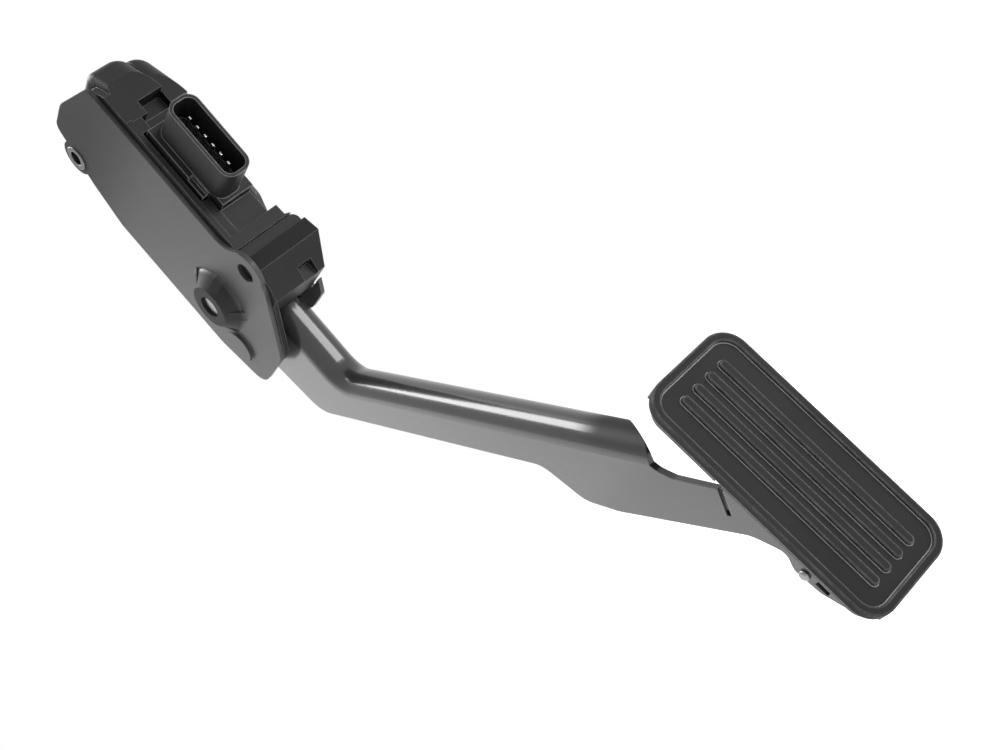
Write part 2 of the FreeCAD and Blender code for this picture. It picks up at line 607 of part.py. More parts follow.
    def round_about(self, axis, count):
        """Copies the last feature round the axis of a turned profile."""
        last = self.body.Tip
        pattern = self.body.newObject("PartDesign::PolarPattern", f"{self.body.Label}_ring")
        pattern.Originals = [last]
        pattern.Axis = (axis, ["V_Axis"])
        pattern.Angle = 360
        pattern.Occurrences = count
        self.body.Tip = pattern
        self.settle()

    def stand(self, across, height, lean, side=-1):
        """Sets the body at a place of the side view, turned about Y to one side by an angle."""
        turn = FreeCAD.Rotation(FreeCAD.Vector(0, side, 0), size(lean))
        self.body.Placement = FreeCAD.Placement(FreeCAD.Vector(), turn)
        self.body.setExpression("Placement.Base.x", bound(across))
        self.body.setExpression("Placement.Base.z", bound(height))
        self.body.setExpression("Placement.Rotation.Angle", bound(lean))
        self.settle()


PIVOT = from_pivot("0", "0")
TAB = ("0", "0")
SLEEVE = from_pivot("(-sleeve_back)", "sleeve_up")
ROTOR = from_pivot("0", "rotor_up")
FAR_INSIDE = "bracket_wide - plate_sheet"
WALL_INSIDE = "plate_sheet + wall_mould"
ARM_NEAR = "arm_middle - arm_wide / 2"
ARM_FAR = "arm_middle + arm_wide / 2"
PIN_HOLE = "pin_round + pin_fit"
BUSH_OUT = "pin_round + pin_fit + bush_wall"
HUB_IN = "pin_round + 2 * pin_fit + bush_wall"
HUB_OUT = "pin_round + 2 * pin_fit + bush_wall + hub_wall"
FLANGE_FRONT = "(-rib_rise - pad_skin)"
FLANGE_BACK = "(-rib_rise - pad_skin - arm_sheet)"
PAD_FAR = "pad_near + pad_wide"
INNER_MEAN = f"({HUB_OUT} + gap + inner_wire / 2)"
OUTER_MEAN = f"({HUB_OUT} + 2 * gap + inner_wire + outer_wire / 2)"
SEAT_TOP = f"({OUTER_MEAN} + outer_wire / 2 + seat_step)"
STOP_SPOT = ("arm_middle", "pivot_z - bump_low")
CASE_BOX = side_box("(-case_back)", "case_front", "(rotor_up - case_drop)", "(rotor_up + case_rise)")
SCREWS = [from_pivot("(screw_in - case_back)", "(rotor_up - case_drop + screw_in)"),
          from_pivot("(case_front - screw_in)", "(rotor_up + case_rise - screw_in)")]
HUB_NEAR = f"{ARM_NEAR} - hub_out"
HUB_FAR = f"{ARM_FAR} + hub_out"
DRIVE_SPOT = from_pivot("(-pin_reach * sin(half_travel))", "(pin_reach * cos(half_travel))")
RIVET_SPOT = on_tread(f"{FLANGE_BACK} - rivet_in", "(rivet_up - ear_end)")
CASE_RIM = f"{FAR_INSIDE} - cover_thick - seal_thick"
CASE_NEAR = f"{CASE_RIM} - case_deep"
CASE_FLOOR = f"{CASE_NEAR} + case_wall"
CHAMBER = "rotor_round + chamber_room"
BASE_NEAR = f"{WALL_INSIDE} + base_gap"
BASE_BACK = "stop_back"
TERMINAL_ROOT = "pivot_x + plug_floor - terminal_root"
ROTOR_REST = "atan(pin_reach * sin(half_travel) / (rotor_up - pin_reach * cos(half_travel)))"
ROTOR_NEAR = f"{CASE_NEAR} - gap - rotor_thick"
ROTOR_FAR = f"{CASE_NEAR} - gap"
SHAFT_END = f"{CASE_FLOOR} + gap"


def mounting_bracket():
    """The folded sheet: near plate with its tab and pressed pivot boss, back web and far plate."""
    piece = Piece("mounting_bracket")
    foot = from_pivot("(foot_in - plate_back)", "(-plate_low)")
    toe = from_pivot("toe_out", "(-plate_low)")
    chin = from_pivot("(plate_front + chin_out)", "(-chin_low)")
    tab_top = from_pivot("plate_front", "0")
    brow = from_pivot("plate_front", "(plate_top - brow_drop)")
    crest = from_pivot("crest_out", "plate_top")
    nape = from_pivot("(-nape_back)", "plate_top")
    neck = from_pivot("(foot_in - plate_back)", "(sleeve_up - neck_drop)")
    back_high = from_pivot("(-plate_back)", "web_top")
    back_low = from_pivot("(-plate_back)", "(-web_low - heel_drop)")
    near = [foot, toe, chin, tab_top, brow, crest, nape, neck, back_high, back_low]
    piece.block("side", near, "0", "plate_sheet")
    piece.soften(1, [foot], "foot_round")
    piece.soften(1, [toe, back_low], "toe_round")
    piece.soften(1, [chin], "tab_round - plate_sheet")
    piece.soften(1, [crest], "crest_round")
    piece.soften(1, [brow, nape], "plate_round")
    piece.disc("side", TAB, "tab_round", "0", "plate_sheet")
    joint = ("pivot_x + plate_front", "sqrt(tab_round ^ 2 - (pivot_x + plate_front) ^ 2)")
    piece.soften(1, [joint], "tab_blend")
    piece.disc("side", SLEEVE, "sleeve_bore + sleeve_wall + sleeve_rim", "0", "plate_sheet")
    web = side_box("(-plate_back)", "(plate_sheet - plate_back)", "(-web_low)", "web_top")
    piece.block("side", web, "0", "bracket_wide")
    under_stop = "(-stop_low - 2 * gap)"
    over_stop = "(stop_high + room_over)"
    behind_stop = "(stop_back - room_behind)"
    far_front = "(plate_front - far_in)"
    far = [from_pivot("(-plate_back)", "(-web_low)"), from_pivot("(-far_bank)", "(far_bank_up - far_low)"),
           from_pivot("far_keel", "(-far_low)"), from_pivot("(hook_front - hook_in)", "(-far_low)"),
           from_pivot("hook_front", under_stop), from_pivot(behind_stop, under_stop),
           from_pivot(behind_stop, over_stop), from_pivot(f"({far_front} - far_cove)", over_stop),
           from_pivot(far_front, f"({over_stop} + 1.25 * far_cove)"),
           from_pivot(far_front, "(web_high - far_slope_drop)"),
           from_pivot(f"({far_front} - far_slope)", "web_high"), from_pivot("(-plate_back)", "web_high")]
    piece.block("side", far, FAR_INSIDE, "bracket_wide")
    piece.soften(1, far[1:4] + far[7:11], "far_round")
    piece.bore("side", PIVOT, "boss_base", "0", "plate_sheet")
    profile = [("boss_base", "plate_sheet"), ("boss_base", "0"),
               ("boss_top", "(-boss_rise)"), (PIN_HOLE, "(-boss_rise)"),
               (PIN_HOLE, "(plate_sheet - boss_rise)"),
               ("boss_top - plate_sheet / 2", "(plate_sheet - boss_rise)"),
               ("boss_base - 1.4 * plate_sheet", "plate_sheet")]
    axis = piece.turned(PIVOT, profile)
    rib = [("boss_base + star_out", "0"), ("boss_top", "(star_drop - boss_rise)"),
           ("boss_top - plate_sheet", "(plate_sheet - boss_rise)"), ("boss_base - plate_sheet", "star_drop")]
    piece.radial_rib(PIVOT, "star_turn", rib, "star_wide")
    piece.round_about(axis, 5)
    dimple = from_pivot("(-dimple_back)", "(-dimple_low)")
    piece.disc("side", dimple, "dimple_round", "(-dimple_rise)", "0")
    piece.bore("side", PIVOT, PIN_HOLE, FAR_INSIDE, "bracket_wide")
    piece.bore("side", TAB, "tab_bore", "0", "plate_sheet")
    piece.bore("side", SLEEVE, "sleeve_bore + sleeve_wall + pin_fit", "0", "plate_sheet")
    vent = side_box("(-vent_back - vent_wide / 2)", "(vent_wide / 2 - vent_back)",
                    "(-dimple_low - vent_tall / 2)", "(vent_tall / 2 - dimple_low)")
    piece.cut("side", vent, "(-dimple_rise)", "plate_sheet")
    for spot in SCREWS:
        piece.bore("side", spot, "screw_round + pin_fit", FAR_INSIDE, "bracket_wide")


def mount_sleeve():
    """The steel sleeve that the upper mounting bolt passes through."""
    piece = Piece("mount_sleeve")
    piece.disc("side", SLEEVE, "sleeve_bore + sleeve_wall", "(-sleeve_out)", "head_far")
    piece.bore("side", SLEEVE, "sleeve_bore", "(-sleeve_out)", "head_far")


def head_lobe(piece, front, face, top, sides, rounds):
    """One lobe of the head: a block with a flat front, a slope above it and rounded long edges."""
    outline = [from_pivot("(-head_back)", "head_low"), from_pivot(front, "head_low"), from_pivot(front, face),
               from_pivot(f"({front} - lobe_slope)", top), from_pivot("(-head_back)", top)]
    piece.block("side", outline, *sides)
    piece.soften(1, outline[3:4], "lobe_slope")
    for side, radius in zip(sides, rounds):
        if radius:
            piece.soften(0, [(side, outline[3][1])], radius)


def pedal_housing():
    """The moulded housing: near wall, head block with its lobes, and the stop block."""
    piece = Piece("pedal_housing")
    foot = from_pivot("(foot_in + plate_sheet - plate_back)", "(plate_sheet - plate_low)")
    toe = from_pivot("(toe_out + edge_out)", "(-plate_low)")
    chin = from_pivot("(plate_front + edge_out)", "(-wall_chin)")
    ledge = from_pivot("(plate_front + edge_out)", "stop_high")
    bank = from_pivot("(plate_front + band_out)", "stop_high")
    brow = from_pivot("(plate_front + band_out)", "(head_low + edge_out)")
    crown = from_pivot("(foot_in + edge_out - plate_back)", "(head_low + edge_out)")
    back = from_pivot("(plate_sheet - plate_back)", "(web_top - edge_out)")
    heel = from_pivot("(plate_sheet - plate_back)", "(-web_low - heel_drop)")
    wall = [foot, toe, chin, ledge, bank, brow, crown, back, heel]
    piece.block("side", wall, "plate_sheet", WALL_INSIDE)
    piece.soften(1, [foot], "foot_round - plate_sheet")
    piece.soften(1, [toe, heel], "toe_round")
    piece.soften(1, [chin], "tab_round")
    head_lobe(piece, "head_front", "lobe_face", "lobe_top", ("lobe_near", "head_split"),
              ("lobe_slope / 2", "lobe_round"))
    head_lobe(piece, "(head_front - far_lobe_in)", "(lobe_face - far_lobe_in)", "far_lobe_top",
              ("head_split", "head_far"), (None, "lobe_round"))
    shelf = [from_pivot("(-head_back)", "head_low"), from_pivot("head_front", "head_low"),
             from_pivot("head_front", "(lobe_face - far_lobe_in)"),
             from_pivot("(plate_front - plate_sheet)", "(plate_top - brow_drop - edge_out)"),
             from_pivot("crest_out", "(plate_top - plate_sheet)"),
             from_pivot("(-nape_back)", "(plate_top - wall_mould)"),
             from_pivot("(-head_back)", "sleeve_up")]
    piece.block("side", shelf, "plate_sheet", "lobe_near")
    piece.disc("side", SLEEVE, "sleeve_bore + sleeve_wall + sleeve_rim", "plate_sheet", "head_far")
    notch = side_box("(head_front - notch_deep)", "head_front", "head_low", "(head_low + notch_high)")
    piece.cut("side", notch, "notch_near", "head_split")
    upper = side_box("(plate_front - band_out)", "(plate_front + band_out)", "(head_low - shelf_drop)",
                     "head_low")
    piece.block("side", upper, "plate_sheet", "shelf_far")
    lower = side_box("stop_back", "(plate_front + shelf_out)", "stop_high", "shelf_high")
    piece.block("side", lower, "plate_sheet", "shelf_far")
    stop = [from_pivot("stop_back", "(-stop_low)"), from_pivot("(stop_front - stop_lean)", "(-stop_low)"),
            from_pivot("stop_front", "(-stop_edge)"),
            from_pivot("(stop_front - stop_slope)", "(-groove_low)"),
            from_pivot("(stop_front - groove_deep)", "(-groove_low)"),
            from_pivot("(stop_front - groove_deep)", "groove_high"),
            from_pivot("(stop_front - stop_slope - 1)", "groove_high"),
            from_pivot("(stop_front - stop_slope - 1)", "stop_high"), from_pivot("stop_back", "stop_high")]
    piece.block("side", stop, "plate_sheet", "stop_far")
    start = "pivot_x + stop_back"
    end = "pivot_x + stop_front"
    shoulder = [("rib_far", "pivot_z + stop_high"), ("rib_far + gap", "pivot_z + groove_high + edge_out"),
                ("stop_far", "pivot_z + groove_high - edge_out"), ("stop_far", "pivot_z + stop_high")]
    piece.cut("front", shoulder, start, end)
    heel_cut = [("stop_far", "pivot_z - stop_edge"), ("stop_far - stop_taper", "pivot_z - stop_low"),
                ("stop_far", "pivot_z - stop_low")]
    piece.cut("front", heel_cut, start, end)
    piece.soften(0, [shoulder[2]], "stop_round")
    slot = rectangle("slot_near", "slot_near + slot_wide", "pivot_z - stop_low",
                     "pivot_z - stop_low + slot_high")
    piece.cut("front", slot, f"{end} - slot_deep", end)
    seat_back = "(plate_sheet - plate_back)"
    inner_seat = side_box(seat_back, f"({seat_back} + seat_step)", f"({INNER_MEAN} + inner_wire / 2)",
                          SEAT_TOP)
    piece.block("side", inner_seat, "plate_sheet", "arm_middle")
    outer_seat = side_box(seat_back, f"({seat_back} + 2 * seat_step)",
                          f"({OUTER_MEAN} + outer_wire / 2)", SEAT_TOP)
    piece.block("side", outer_seat, "plate_sheet", "arm_middle")
    piece.bore("side", PIVOT, "pin_round + gap", "plate_sheet", WALL_INSIDE)
    piece.bore("side", SLEEVE, "sleeve_bore + sleeve_wall + pin_fit", "plate_sheet", "head_far")
    piece.bore("front", STOP_SPOT, "bump_round + pin_fit", start, f"{start} + bump_deep")


def rubber_stops():
    """The bumper that the arm rests on, and the strip on the web that it meets at full travel."""
    piece = Piece("idle_stop")
    crown_front = "pivot_x + crown_out + arm_wide / 2"
    piece.disc("front", STOP_SPOT, "bump_round", f"{crown_front} + gap", "pivot_x + stop_back + bump_deep")
    piece = Piece("full_stop")
    web = "(plate_sheet - plate_back)"
    strip = side_box(web, f"({web} + strip_thick)", "(-web_low)", "strip_high")
    piece.block("side", strip, "arm_middle - strip_wide / 2", "arm_middle + strip_wide / 2")


def pivot_pin():
    """The headed pin that the pedal turns on."""
    piece = Piece("pivot_pin")
    end = "(pin_sunk - boss_rise)"
    head = "bracket_wide + pin_head"
    profile = [("0", end), ("pin_round - chamfer", end), ("pin_round", f"({end} + chamfer)"),
               ("pin_round", "bracket_wide"), ("pin_round + pin_brim", "bracket_wide"),
               ("pin_round + pin_brim", f"{head} - chamfer"), ("pin_round + pin_brim - chamfer", head),
               ("0", head)]
    piece.turned(PIVOT, profile)


def pivot_bushes():
    """The two flanged bushes pressed into the ends of the hub."""
    piece = Piece("pivot_bushes")
    near_end = "arm_middle - bush_room / 2"
    far_end = "arm_middle + bush_room / 2"
    near = [(PIN_HOLE, f"{WALL_INSIDE} + gap"), (HUB_OUT, f"{WALL_INSIDE} + gap"), (HUB_OUT, HUB_NEAR),
            (BUSH_OUT, HUB_NEAR), (BUSH_OUT, near_end), (PIN_HOLE, near_end)]
    far = [(PIN_HOLE, far_end), (BUSH_OUT, far_end), (BUSH_OUT, HUB_FAR),
           (HUB_OUT, HUB_FAR), (HUB_OUT, f"{FAR_INSIDE} - gap"), (PIN_HOLE, f"{FAR_INSIDE} - gap")]
    piece.turned(PIVOT, near)
    piece.turned(PIVOT, far)


def hub_tube():
    """The tube welded through both walls of the arm."""
    piece = Piece("hub_tube")
    piece.disc("side", PIVOT, HUB_OUT, HUB_NEAR, HUB_FAR)
    piece.bore("side", PIVOT, HUB_IN, HUB_NEAR, HUB_FAR)


def pedal_arm():
    """The folded arm: two walls under a half-round crown, the blade and the flange under the tread."""
    piece = Piece("pedal_arm")
    near_in = f"{ARM_NEAR} + arm_sheet"
    far_in = f"{ARM_FAR} - arm_sheet"
    corner = from_pivot("crown_out", "(-arm_drop)")
    shoulder = from_pivot("crown_out", "(-crown_top)")
    cheek_low = from_pivot("(crown_out + cheek_out)", "(cheek_start - crown_top)")
    cheek_high = from_pivot("(crown_out + cheek_out)", "cheek_front")
    tip_front = from_pivot("tip_out", "(pin_reach + tip_over)")
    tip_back = from_pivot("(-tip_rear)", "(pin_reach + tip_over - tip_out)")
    lever_foot = from_pivot("(tip_out - tip_rear)", "lever_low")
    cheek_top = from_pivot("(cheek_slope - cheek_back)", "cheek_rise")
    cheek_rear = from_pivot("(-cheek_back)", "(cheek_rise - 1.5 * cheek_slope)")
    rear_low = from_pivot("(-cheek_back)", "(-rear_drop)")
    elbow = along_arm("(-elbow_run)", "(-wall_deep)")
    bulge_start = along_arm("bulge_run - bulge_lead", "(-wall_deep)")
    bulge_front = along_arm("bulge_run - bulge_lead / 2", "(-bulge_deep + bulge_slope)")
    bulge = along_arm("bulge_run", "(-bulge_deep)")
    neck = on_tread(f"{FLANGE_BACK} - neck_out", "(neck_up - ear_end)")
    waist = on_tread(f"{FLANGE_BACK} - waist_out", "(waist_up - ear_end)")
    ear_high = on_tread(f"{FLANGE_BACK} - ear_out", "(ear_tall - ear_end)")
    ear_low = on_tread(f"{FLANGE_BACK} - 0.8 * ear_out", "(ear_foot - ear_end)")
    tail = on_tread(FLANGE_BACK, "(-ear_end)")
    tail_front = on_tread(FLANGE_FRONT, "(-ear_end)")
    root_front = on_tread(FLANGE_FRONT, "root_up")
    root = on_tread(f"{FLANGE_BACK} - waist_out", "root_up")
    blade_end = along_arm("slit_run", "(-blade_top)")
    blade_start = along_arm("blade_run", "(-blade_top)")
    sweep_low = along_arm("crown_run + 1.7 * crown_end", "(-blade_top / 2)")
    sweep = along_arm("crown_run + crown_end", "0")
    near = [corner, shoulder, cheek_low, cheek_high, tip_front, tip_back, lever_foot, cheek_top, cheek_rear,
            rear_low, elbow, bulge_start, bulge_front, bulge, neck, waist, ear_high, ear_low,
            tail, tail_front,
            root_front, root, blade_end, blade_start, sweep_low, sweep]
    piece.block("side", near, ARM_NEAR, near_in)
    piece.soften(1, [corner], "bend_round")
    piece.soften(1, [elbow], "elbow_round")
    piece.soften(1, [bulge_start, bulge_front], "bulge_round")
    piece.soften(1, [blade_start, sweep_low], "2 * crown_end")
    piece.soften(1, [neck], "neck_round")
    piece.soften(1, [tip_front, tip_back], "tip_round")
    piece.soften(1, [waist, ear_high, ear_low], "ear_round")
    piece.soften(1, [lever_foot, rear_low], "cheek_round")
    cheek_mid = from_pivot("0", f"({HUB_OUT} + cheek_slope)")
    far = [corner, shoulder, cheek_low, cheek_high, cheek_mid, cheek_top, cheek_rear, rear_low, elbow,
           along_arm("crown_run - 1.3 * trim_run", "(-wall_deep)"), along_arm("crown_run", "0")]
    piece.block("side", far, far_in, ARM_FAR)
    piece.soften(1, [corner], "bend_round")
    piece.soften(1, [elbow], "elbow_round")
    piece.soften(1, [cheek_mid], "cheek_round")
    piece.crown()
    above = "(0.6 * arm_wide)"
    ridge = along_arm("crown_run", above)
    brim = along_arm("crown_run + crown_end", "(arm_wide / 4)")
    foot = along_arm("crown_run + crown_end", "(-pin_fit)")
    low = along_arm("slit_run", "(-pin_fit)")
    beyond = along_arm("slit_run", above)
    piece.cut("side", [ridge, brim, foot, low, beyond], ARM_NEAR, ARM_FAR)
    far_end = "crown_run + crown_end - trim_run"
    trim = [(near_in, "crown_run + crown_end"), (ARM_FAR, far_end), (ARM_FAR, "slit_run"),
            (near_in, "slit_run")]
    piece.arm_cut(trim, "(-wall_deep)", above)
    flange = rectangle(ARM_NEAR, f"{PAD_FAR} - lip_wide", "(lip_wide - pad_tall / 2)",
                       "(pad_tall / 2 - lip_wide)")
    piece.tread_block(flange, FLANGE_BACK, FLANGE_FRONT)
    lean = math.radians(size("pad_lean"))
    outward = FreeCAD.Vector(math.cos(lean), 0, math.sin(lean))
    upward = FreeCAD.Vector(-math.sin(lean), 0, math.cos(lean))
    corners = []
    for across, up in flange:
        place = on_tread(FLANGE_FRONT, up)
        corners.append(FreeCAD.Vector(size(place[0]), size(across), size(place[1])))
    piece.round_edges(piece.edges_along(outward, corners), "pad_round - lip_wide")
    piece.round_edges(piece.edges_along(upward, corners[:1]), "0.9 * arm_sheet")
    slit = [along_arm("slit_run - 0.2 * slit_wide", "slit_wide"),
            along_arm("slit_run - slit_wide / 2", "(-slit_deep)"),
            along_arm("slit_run + slit_wide / 2", "(-slit_deep)"),
            along_arm("slit_run + slit_wide", "slit_wide")]
    piece.cut("side", slit, ARM_NEAR, near_in)
    piece.bore("side", PIVOT, f"{HUB_OUT} + pin_fit", ARM_NEAR, ARM_FAR)
    piece.bore("side", DRIVE_SPOT, "drive_round + pin_fit", ARM_NEAR, near_in)
    piece.bore("side", RIVET_SPOT, "rivet_round + pin_fit", ARM_NEAR, near_in)
    window = [on_tread(f"{FLANGE_BACK} - {back}", f"({up} - ear_end)") for back, up in
              (("window_wide", "window_up + window_tall"), ("window_wide", "window_up"),
               ("pin_fit", "window_up"), ("pin_fit", "window_up + window_tall"))]
    piece.cut("side", window, ARM_NEAR, near_in)


def drive_pin():
    """The pin on the arm's lever that turns the sensor."""
    piece = Piece("drive_pin")
    piece.disc("side", DRIVE_SPOT, "drive_round", ARM_NEAR, f"{ROTOR_FAR} - gap")


def pad_rivet():
    """The rivet in the ear beside the tread."""
    piece = Piece("pad_rivet")
    near_in = f"{ARM_NEAR} + arm_sheet"
    brim = "rivet_round + rivet_brim"
    head = f"{ARM_NEAR} - rivet_head"
    tail = f"{near_in} + rivet_tail"
    profile = [("0", head), (f"{brim} - chamfer", head), (brim, f"{head} + chamfer"), (brim, ARM_NEAR),
               ("rivet_round", ARM_NEAR), ("rivet_round", near_in), (brim, near_in), (brim, tail),
               ("0", tail)]
    piece.turned(RIVET_SPOT, profile)


def pad_rubber():
    """The tread: a rubber cover with a raised border and ribs, drawn over three edges of the flange."""
    piece = Piece("pad_rubber")
    top = "pad_tall / 2"
    outline = rectangle("pad_near", PAD_FAR, f"(-{top})", f"({top})")
    back = f"{FLANGE_BACK} - lip_back"
    piece.block("front", outline, back, "0")
    piece.soften(0, outline, "pad_round")
    floor = rectangle("pad_near + border_wide", f"{PAD_FAR} - border_wide", f"(border_wide - {top})",
                      f"({top} - border_wide)")
    piece.cut("front", floor, "(-rib_rise)", "0")
    piece.soften(0, floor, "pad_round - border_wide")
    middle = "pad_near + pad_wide / 2"
    rib_tall = "pad_tall - 2 * border_wide - 2 * rib_end"
    piece.slot_block((f"{middle} - 1.5 * rib_step", "0"), rib_tall, "rib_wide", "(-rib_rise)", "0")
    piece.repeat("Y_Axis", "3 * rib_step", 4)
    piece.round_edges(piece.edges_at(0, 0), "rib_round")
    near_side = rectangle("pad_near", f"{ARM_NEAR} + back_open", f"(-{top})", f"({top})")
    piece.cut("front", near_side, back, f"{FLANGE_FRONT} + pin_fit")
    lip = "(lip_wide - pin_fit)"
    cavity = rectangle(ARM_NEAR, f"{PAD_FAR} - {lip}", f"({lip} - {top})", f"({top} - {lip})")
    piece.cut("front", cavity, f"{FLANGE_BACK} - pin_fit", f"{FLANGE_FRONT} + pin_fit")
    mouth = rectangle(ARM_NEAR, f"{PAD_FAR} - lip_wide - mouth_in", f"(lip_wide + mouth_in - {top})",
                      f"({top} - lip_wide - mouth_in)")
    piece.cut("front", mouth, back, FLANGE_BACK)
    piece.stand("pivot_x + pad_x", "pivot_z - pad_z", "pad_lean")


def sensor_body():
    """The moulded sensor: the round chamber for the rotor's magnet, the base and the connector shroud."""
    piece = Piece("sensor_body")
    front = "(plug_floor - base_floor)"
    plug = connector_section("0")
    piece.block("front", plug, f"pivot_x + {front}", "pivot_x + plug_rim")
    piece.soften(0, plug, "plug_round")
    socket = connector_section("plug_wall")
    piece.cut("front", socket, "pivot_x + plug_floor", "pivot_x + plug_rim")
    piece.soften(0, socket, "plug_round - plug_wall")
    piece.block("side", CASE_BOX, CASE_NEAR, CASE_RIM)
    piece.soften(1, [CASE_BOX[0], CASE_BOX[3]], "case_round")
    foot_top = "(stop_high + base_step)"
    foot_front = "(plate_front + base_out)"
    front_top = "(head_low - base_drop)"
    top_front = "(plate_front - base_in)"
    base = [from_pivot(BASE_BACK, "stop_high"), from_pivot(foot_front, "stop_high"),
            from_pivot(foot_front, foot_top), from_pivot(front, foot_top), from_pivot(front, front_top),
            from_pivot(top_front, front_top), from_pivot(top_front, "head_low"),
            from_pivot(BASE_BACK, "head_low")]
    piece.block("side", base, BASE_NEAR, f"{CASE_RIM} - 2 * gap")
    room = side_box(BASE_BACK, front, "stop_high", "(shelf_high + 2 * gap)")
    piece.cut("side", room, BASE_NEAR, "shelf_far + 2 * gap")
    step = side_box(f"({front} - ledge_deep)", front, foot_top, "(plug_middle_z - ledge_low)")
    piece.cut("side", step, BASE_NEAR, f"{BASE_NEAR} + ledge_deep")
    piece.bore("side", ROTOR, "shaft_round + pin_fit", CASE_NEAR, CASE_FLOOR)
    piece.bore("side", ROTOR, CHAMBER, CASE_FLOOR, CASE_RIM)
    for spot in SCREWS:
        piece.bore("side", spot, "screw_round + pin_fit", f"{CASE_RIM} - screw_deep - gap", CASE_RIM)
    piece.cut("front", terminal_section(), TERMINAL_ROOT, "pivot_x + plug_floor")
    piece.repeat("Z_Axis", "5 * terminal_step", 6)


def connector_section(inset):
    """The connector shroud's outline in the front view, or its socket's a wall inside it."""
    across = f"(plug_wide / 2 - {inset})"
    high = f"(plug_tall / 2 - {inset})"
    middle = "pivot_z + plug_middle_z"
    return rectangle(f"plug_middle_y - {across}", f"plug_middle_y + {across}", f"{middle} - {high}",
                     f"{middle} + {high}")


def terminal_section():
    """The lowest terminal's section in the front view."""
    middle = "plug_middle_y + terminal_off"
    low = "pivot_z + plug_middle_z - 2.5 * terminal_step"
    return rectangle(f"{middle} - terminal_thick / 2", f"{middle} + terminal_thick / 2",
                     f"{low} - terminal_wide / 2", f"{low} + terminal_wide / 2")


def terminal_pins():
    """The six blades in the connector."""
    piece = Piece("terminal_pins")
    piece.block("front", terminal_section(), TERMINAL_ROOT, "pivot_x + plug_floor + terminal_out")
    piece.repeat("Z_Axis", "5 * terminal_step", 6)


def sensor_rotor():
    """The rotor: a disc with a fork round the drive pin and a shaft into the case."""
    piece = Piece("sensor_rotor")
    centre = ("0", "0")
    slot = "(drive_round + fork_fit)"
    reach = "(rotor_up - pin_reach + drive_round + tine_over)"
    fork = rectangle(f"(-{slot} - fork_wide)", f"{slot} + fork_wide", f"(-{reach})", "0")
    piece.block("side", fork, ROTOR_NEAR, ROTOR_FAR)
    piece.soften(1, fork[:2], "tine_round")
    piece.disc("side", centre, "rotor_round", ROTOR_NEAR, ROTOR_FAR)
    piece.disc("side", centre, "shaft_round", ROTOR_FAR, SHAFT_END)
    gate = rectangle(f"(-{slot})", slot, f"(-{reach})", "(-rotor_up + pin_reach + drive_round + tine_round)")
    piece.cut("side", gate, ROTOR_NEAR, ROTOR_FAR)
    piece.stand(ROTOR[0], ROTOR[1], ROTOR_REST, side=1)


def sensor_inside():
    """The magnet on the rotor's shaft, the round board above it, the seal and the cover."""
    piece = Piece("rotor_magnet")
    piece.disc("side", ROTOR, "rotor_round - magnet_in", SHAFT_END, f"{SHAFT_END} + magnet_thick")
    board_far = f"{CASE_RIM} - gap"
    board_near = f"{board_far} - board_thick"
    piece = Piece("circuit_board")
    piece.disc("side", ROTOR, f"{CHAMBER} - gap", board_near, board_far)
    high = f"(rotor_up + {CHAMBER})"
    flat = side_box(f"(-{CHAMBER})", f"({CHAMBER})", f"({high} - board_flat)", high)
    piece.cut("side", flat, board_near, board_far)
    seal_far = f"{CASE_RIM} + seal_thick"
    piece = Piece("sensor_seal")
    piece.disc("side", ROTOR, f"{CHAMBER} + gap + seal_wide", CASE_RIM, seal_far)
    piece.bore("side", ROTOR, f"{CHAMBER} + gap", CASE_RIM, seal_far)
    piece = Piece("sensor_cover")
    piece.block("side", CASE_BOX, seal_far, FAR_INSIDE)
    piece.soften(1, [CASE_BOX[0], CASE_BOX[3]], "case_round")
    for spot in SCREWS:
        piece.bore("side", spot, "screw_round + pin_fit", seal_far, FAR_INSIDE)


def sensor_screws():
    """The two screws that hold the sensor to the far plate."""
    piece = Piece("sensor_screws")
    for spot in SCREWS:
        tip = f"{CASE_RIM} - screw_deep"
        head = "bracket_wide + screw_head"
        profile = [("0", tip), ("screw_round", tip), ("screw_round", "bracket_wide"),
                   ("2 * screw_round", "bracket_wide"), ("2 * screw_round", f"{head} - chamfer"),
                   ("2 * screw_round - chamfer", head), ("0", head)]
        piece.turned(spot, profile)


def coil_path(radius, room, turns, upper, lower):
    """A leg to the coil's top, half turns that each climb a little, a last quarter turn and a leg down."""
    climb = room / (2 * turns)
    reach = math.hypot(radius, climb / 2)
    edges = [Part.LineSegment(FreeCAD.Vector(radius, -upper, 0), FreeCAD.Vector(radius, 0, 0)).toShape()]
    for half in range(2 * turns):
        side = 1 - 2 * (half % 2)
        level = half * climb
        start = FreeCAD.Vector(side * radius, 0, level)
        middle = FreeCAD.Vector(0, side * reach, level + climb / 2)
        end = FreeCAD.Vector(-side * radius, 0, level + climb)
        edges.append(Part.Arc(start, middle, end).toShape())
    top = FreeCAD.Vector(radius, 0, room)
    slant = radius * math.sqrt(0.5)
    front = FreeCAD.Vector(0, radius, room)
    edges.append(Part.Arc(top, FreeCAD.Vector(slant, slant, room), front).toShape())
    edges.append(Part.LineSegment(front, front - FreeCAD.Vector(lower, 0, 0)).toShape())
    return Part.Wire(edges)


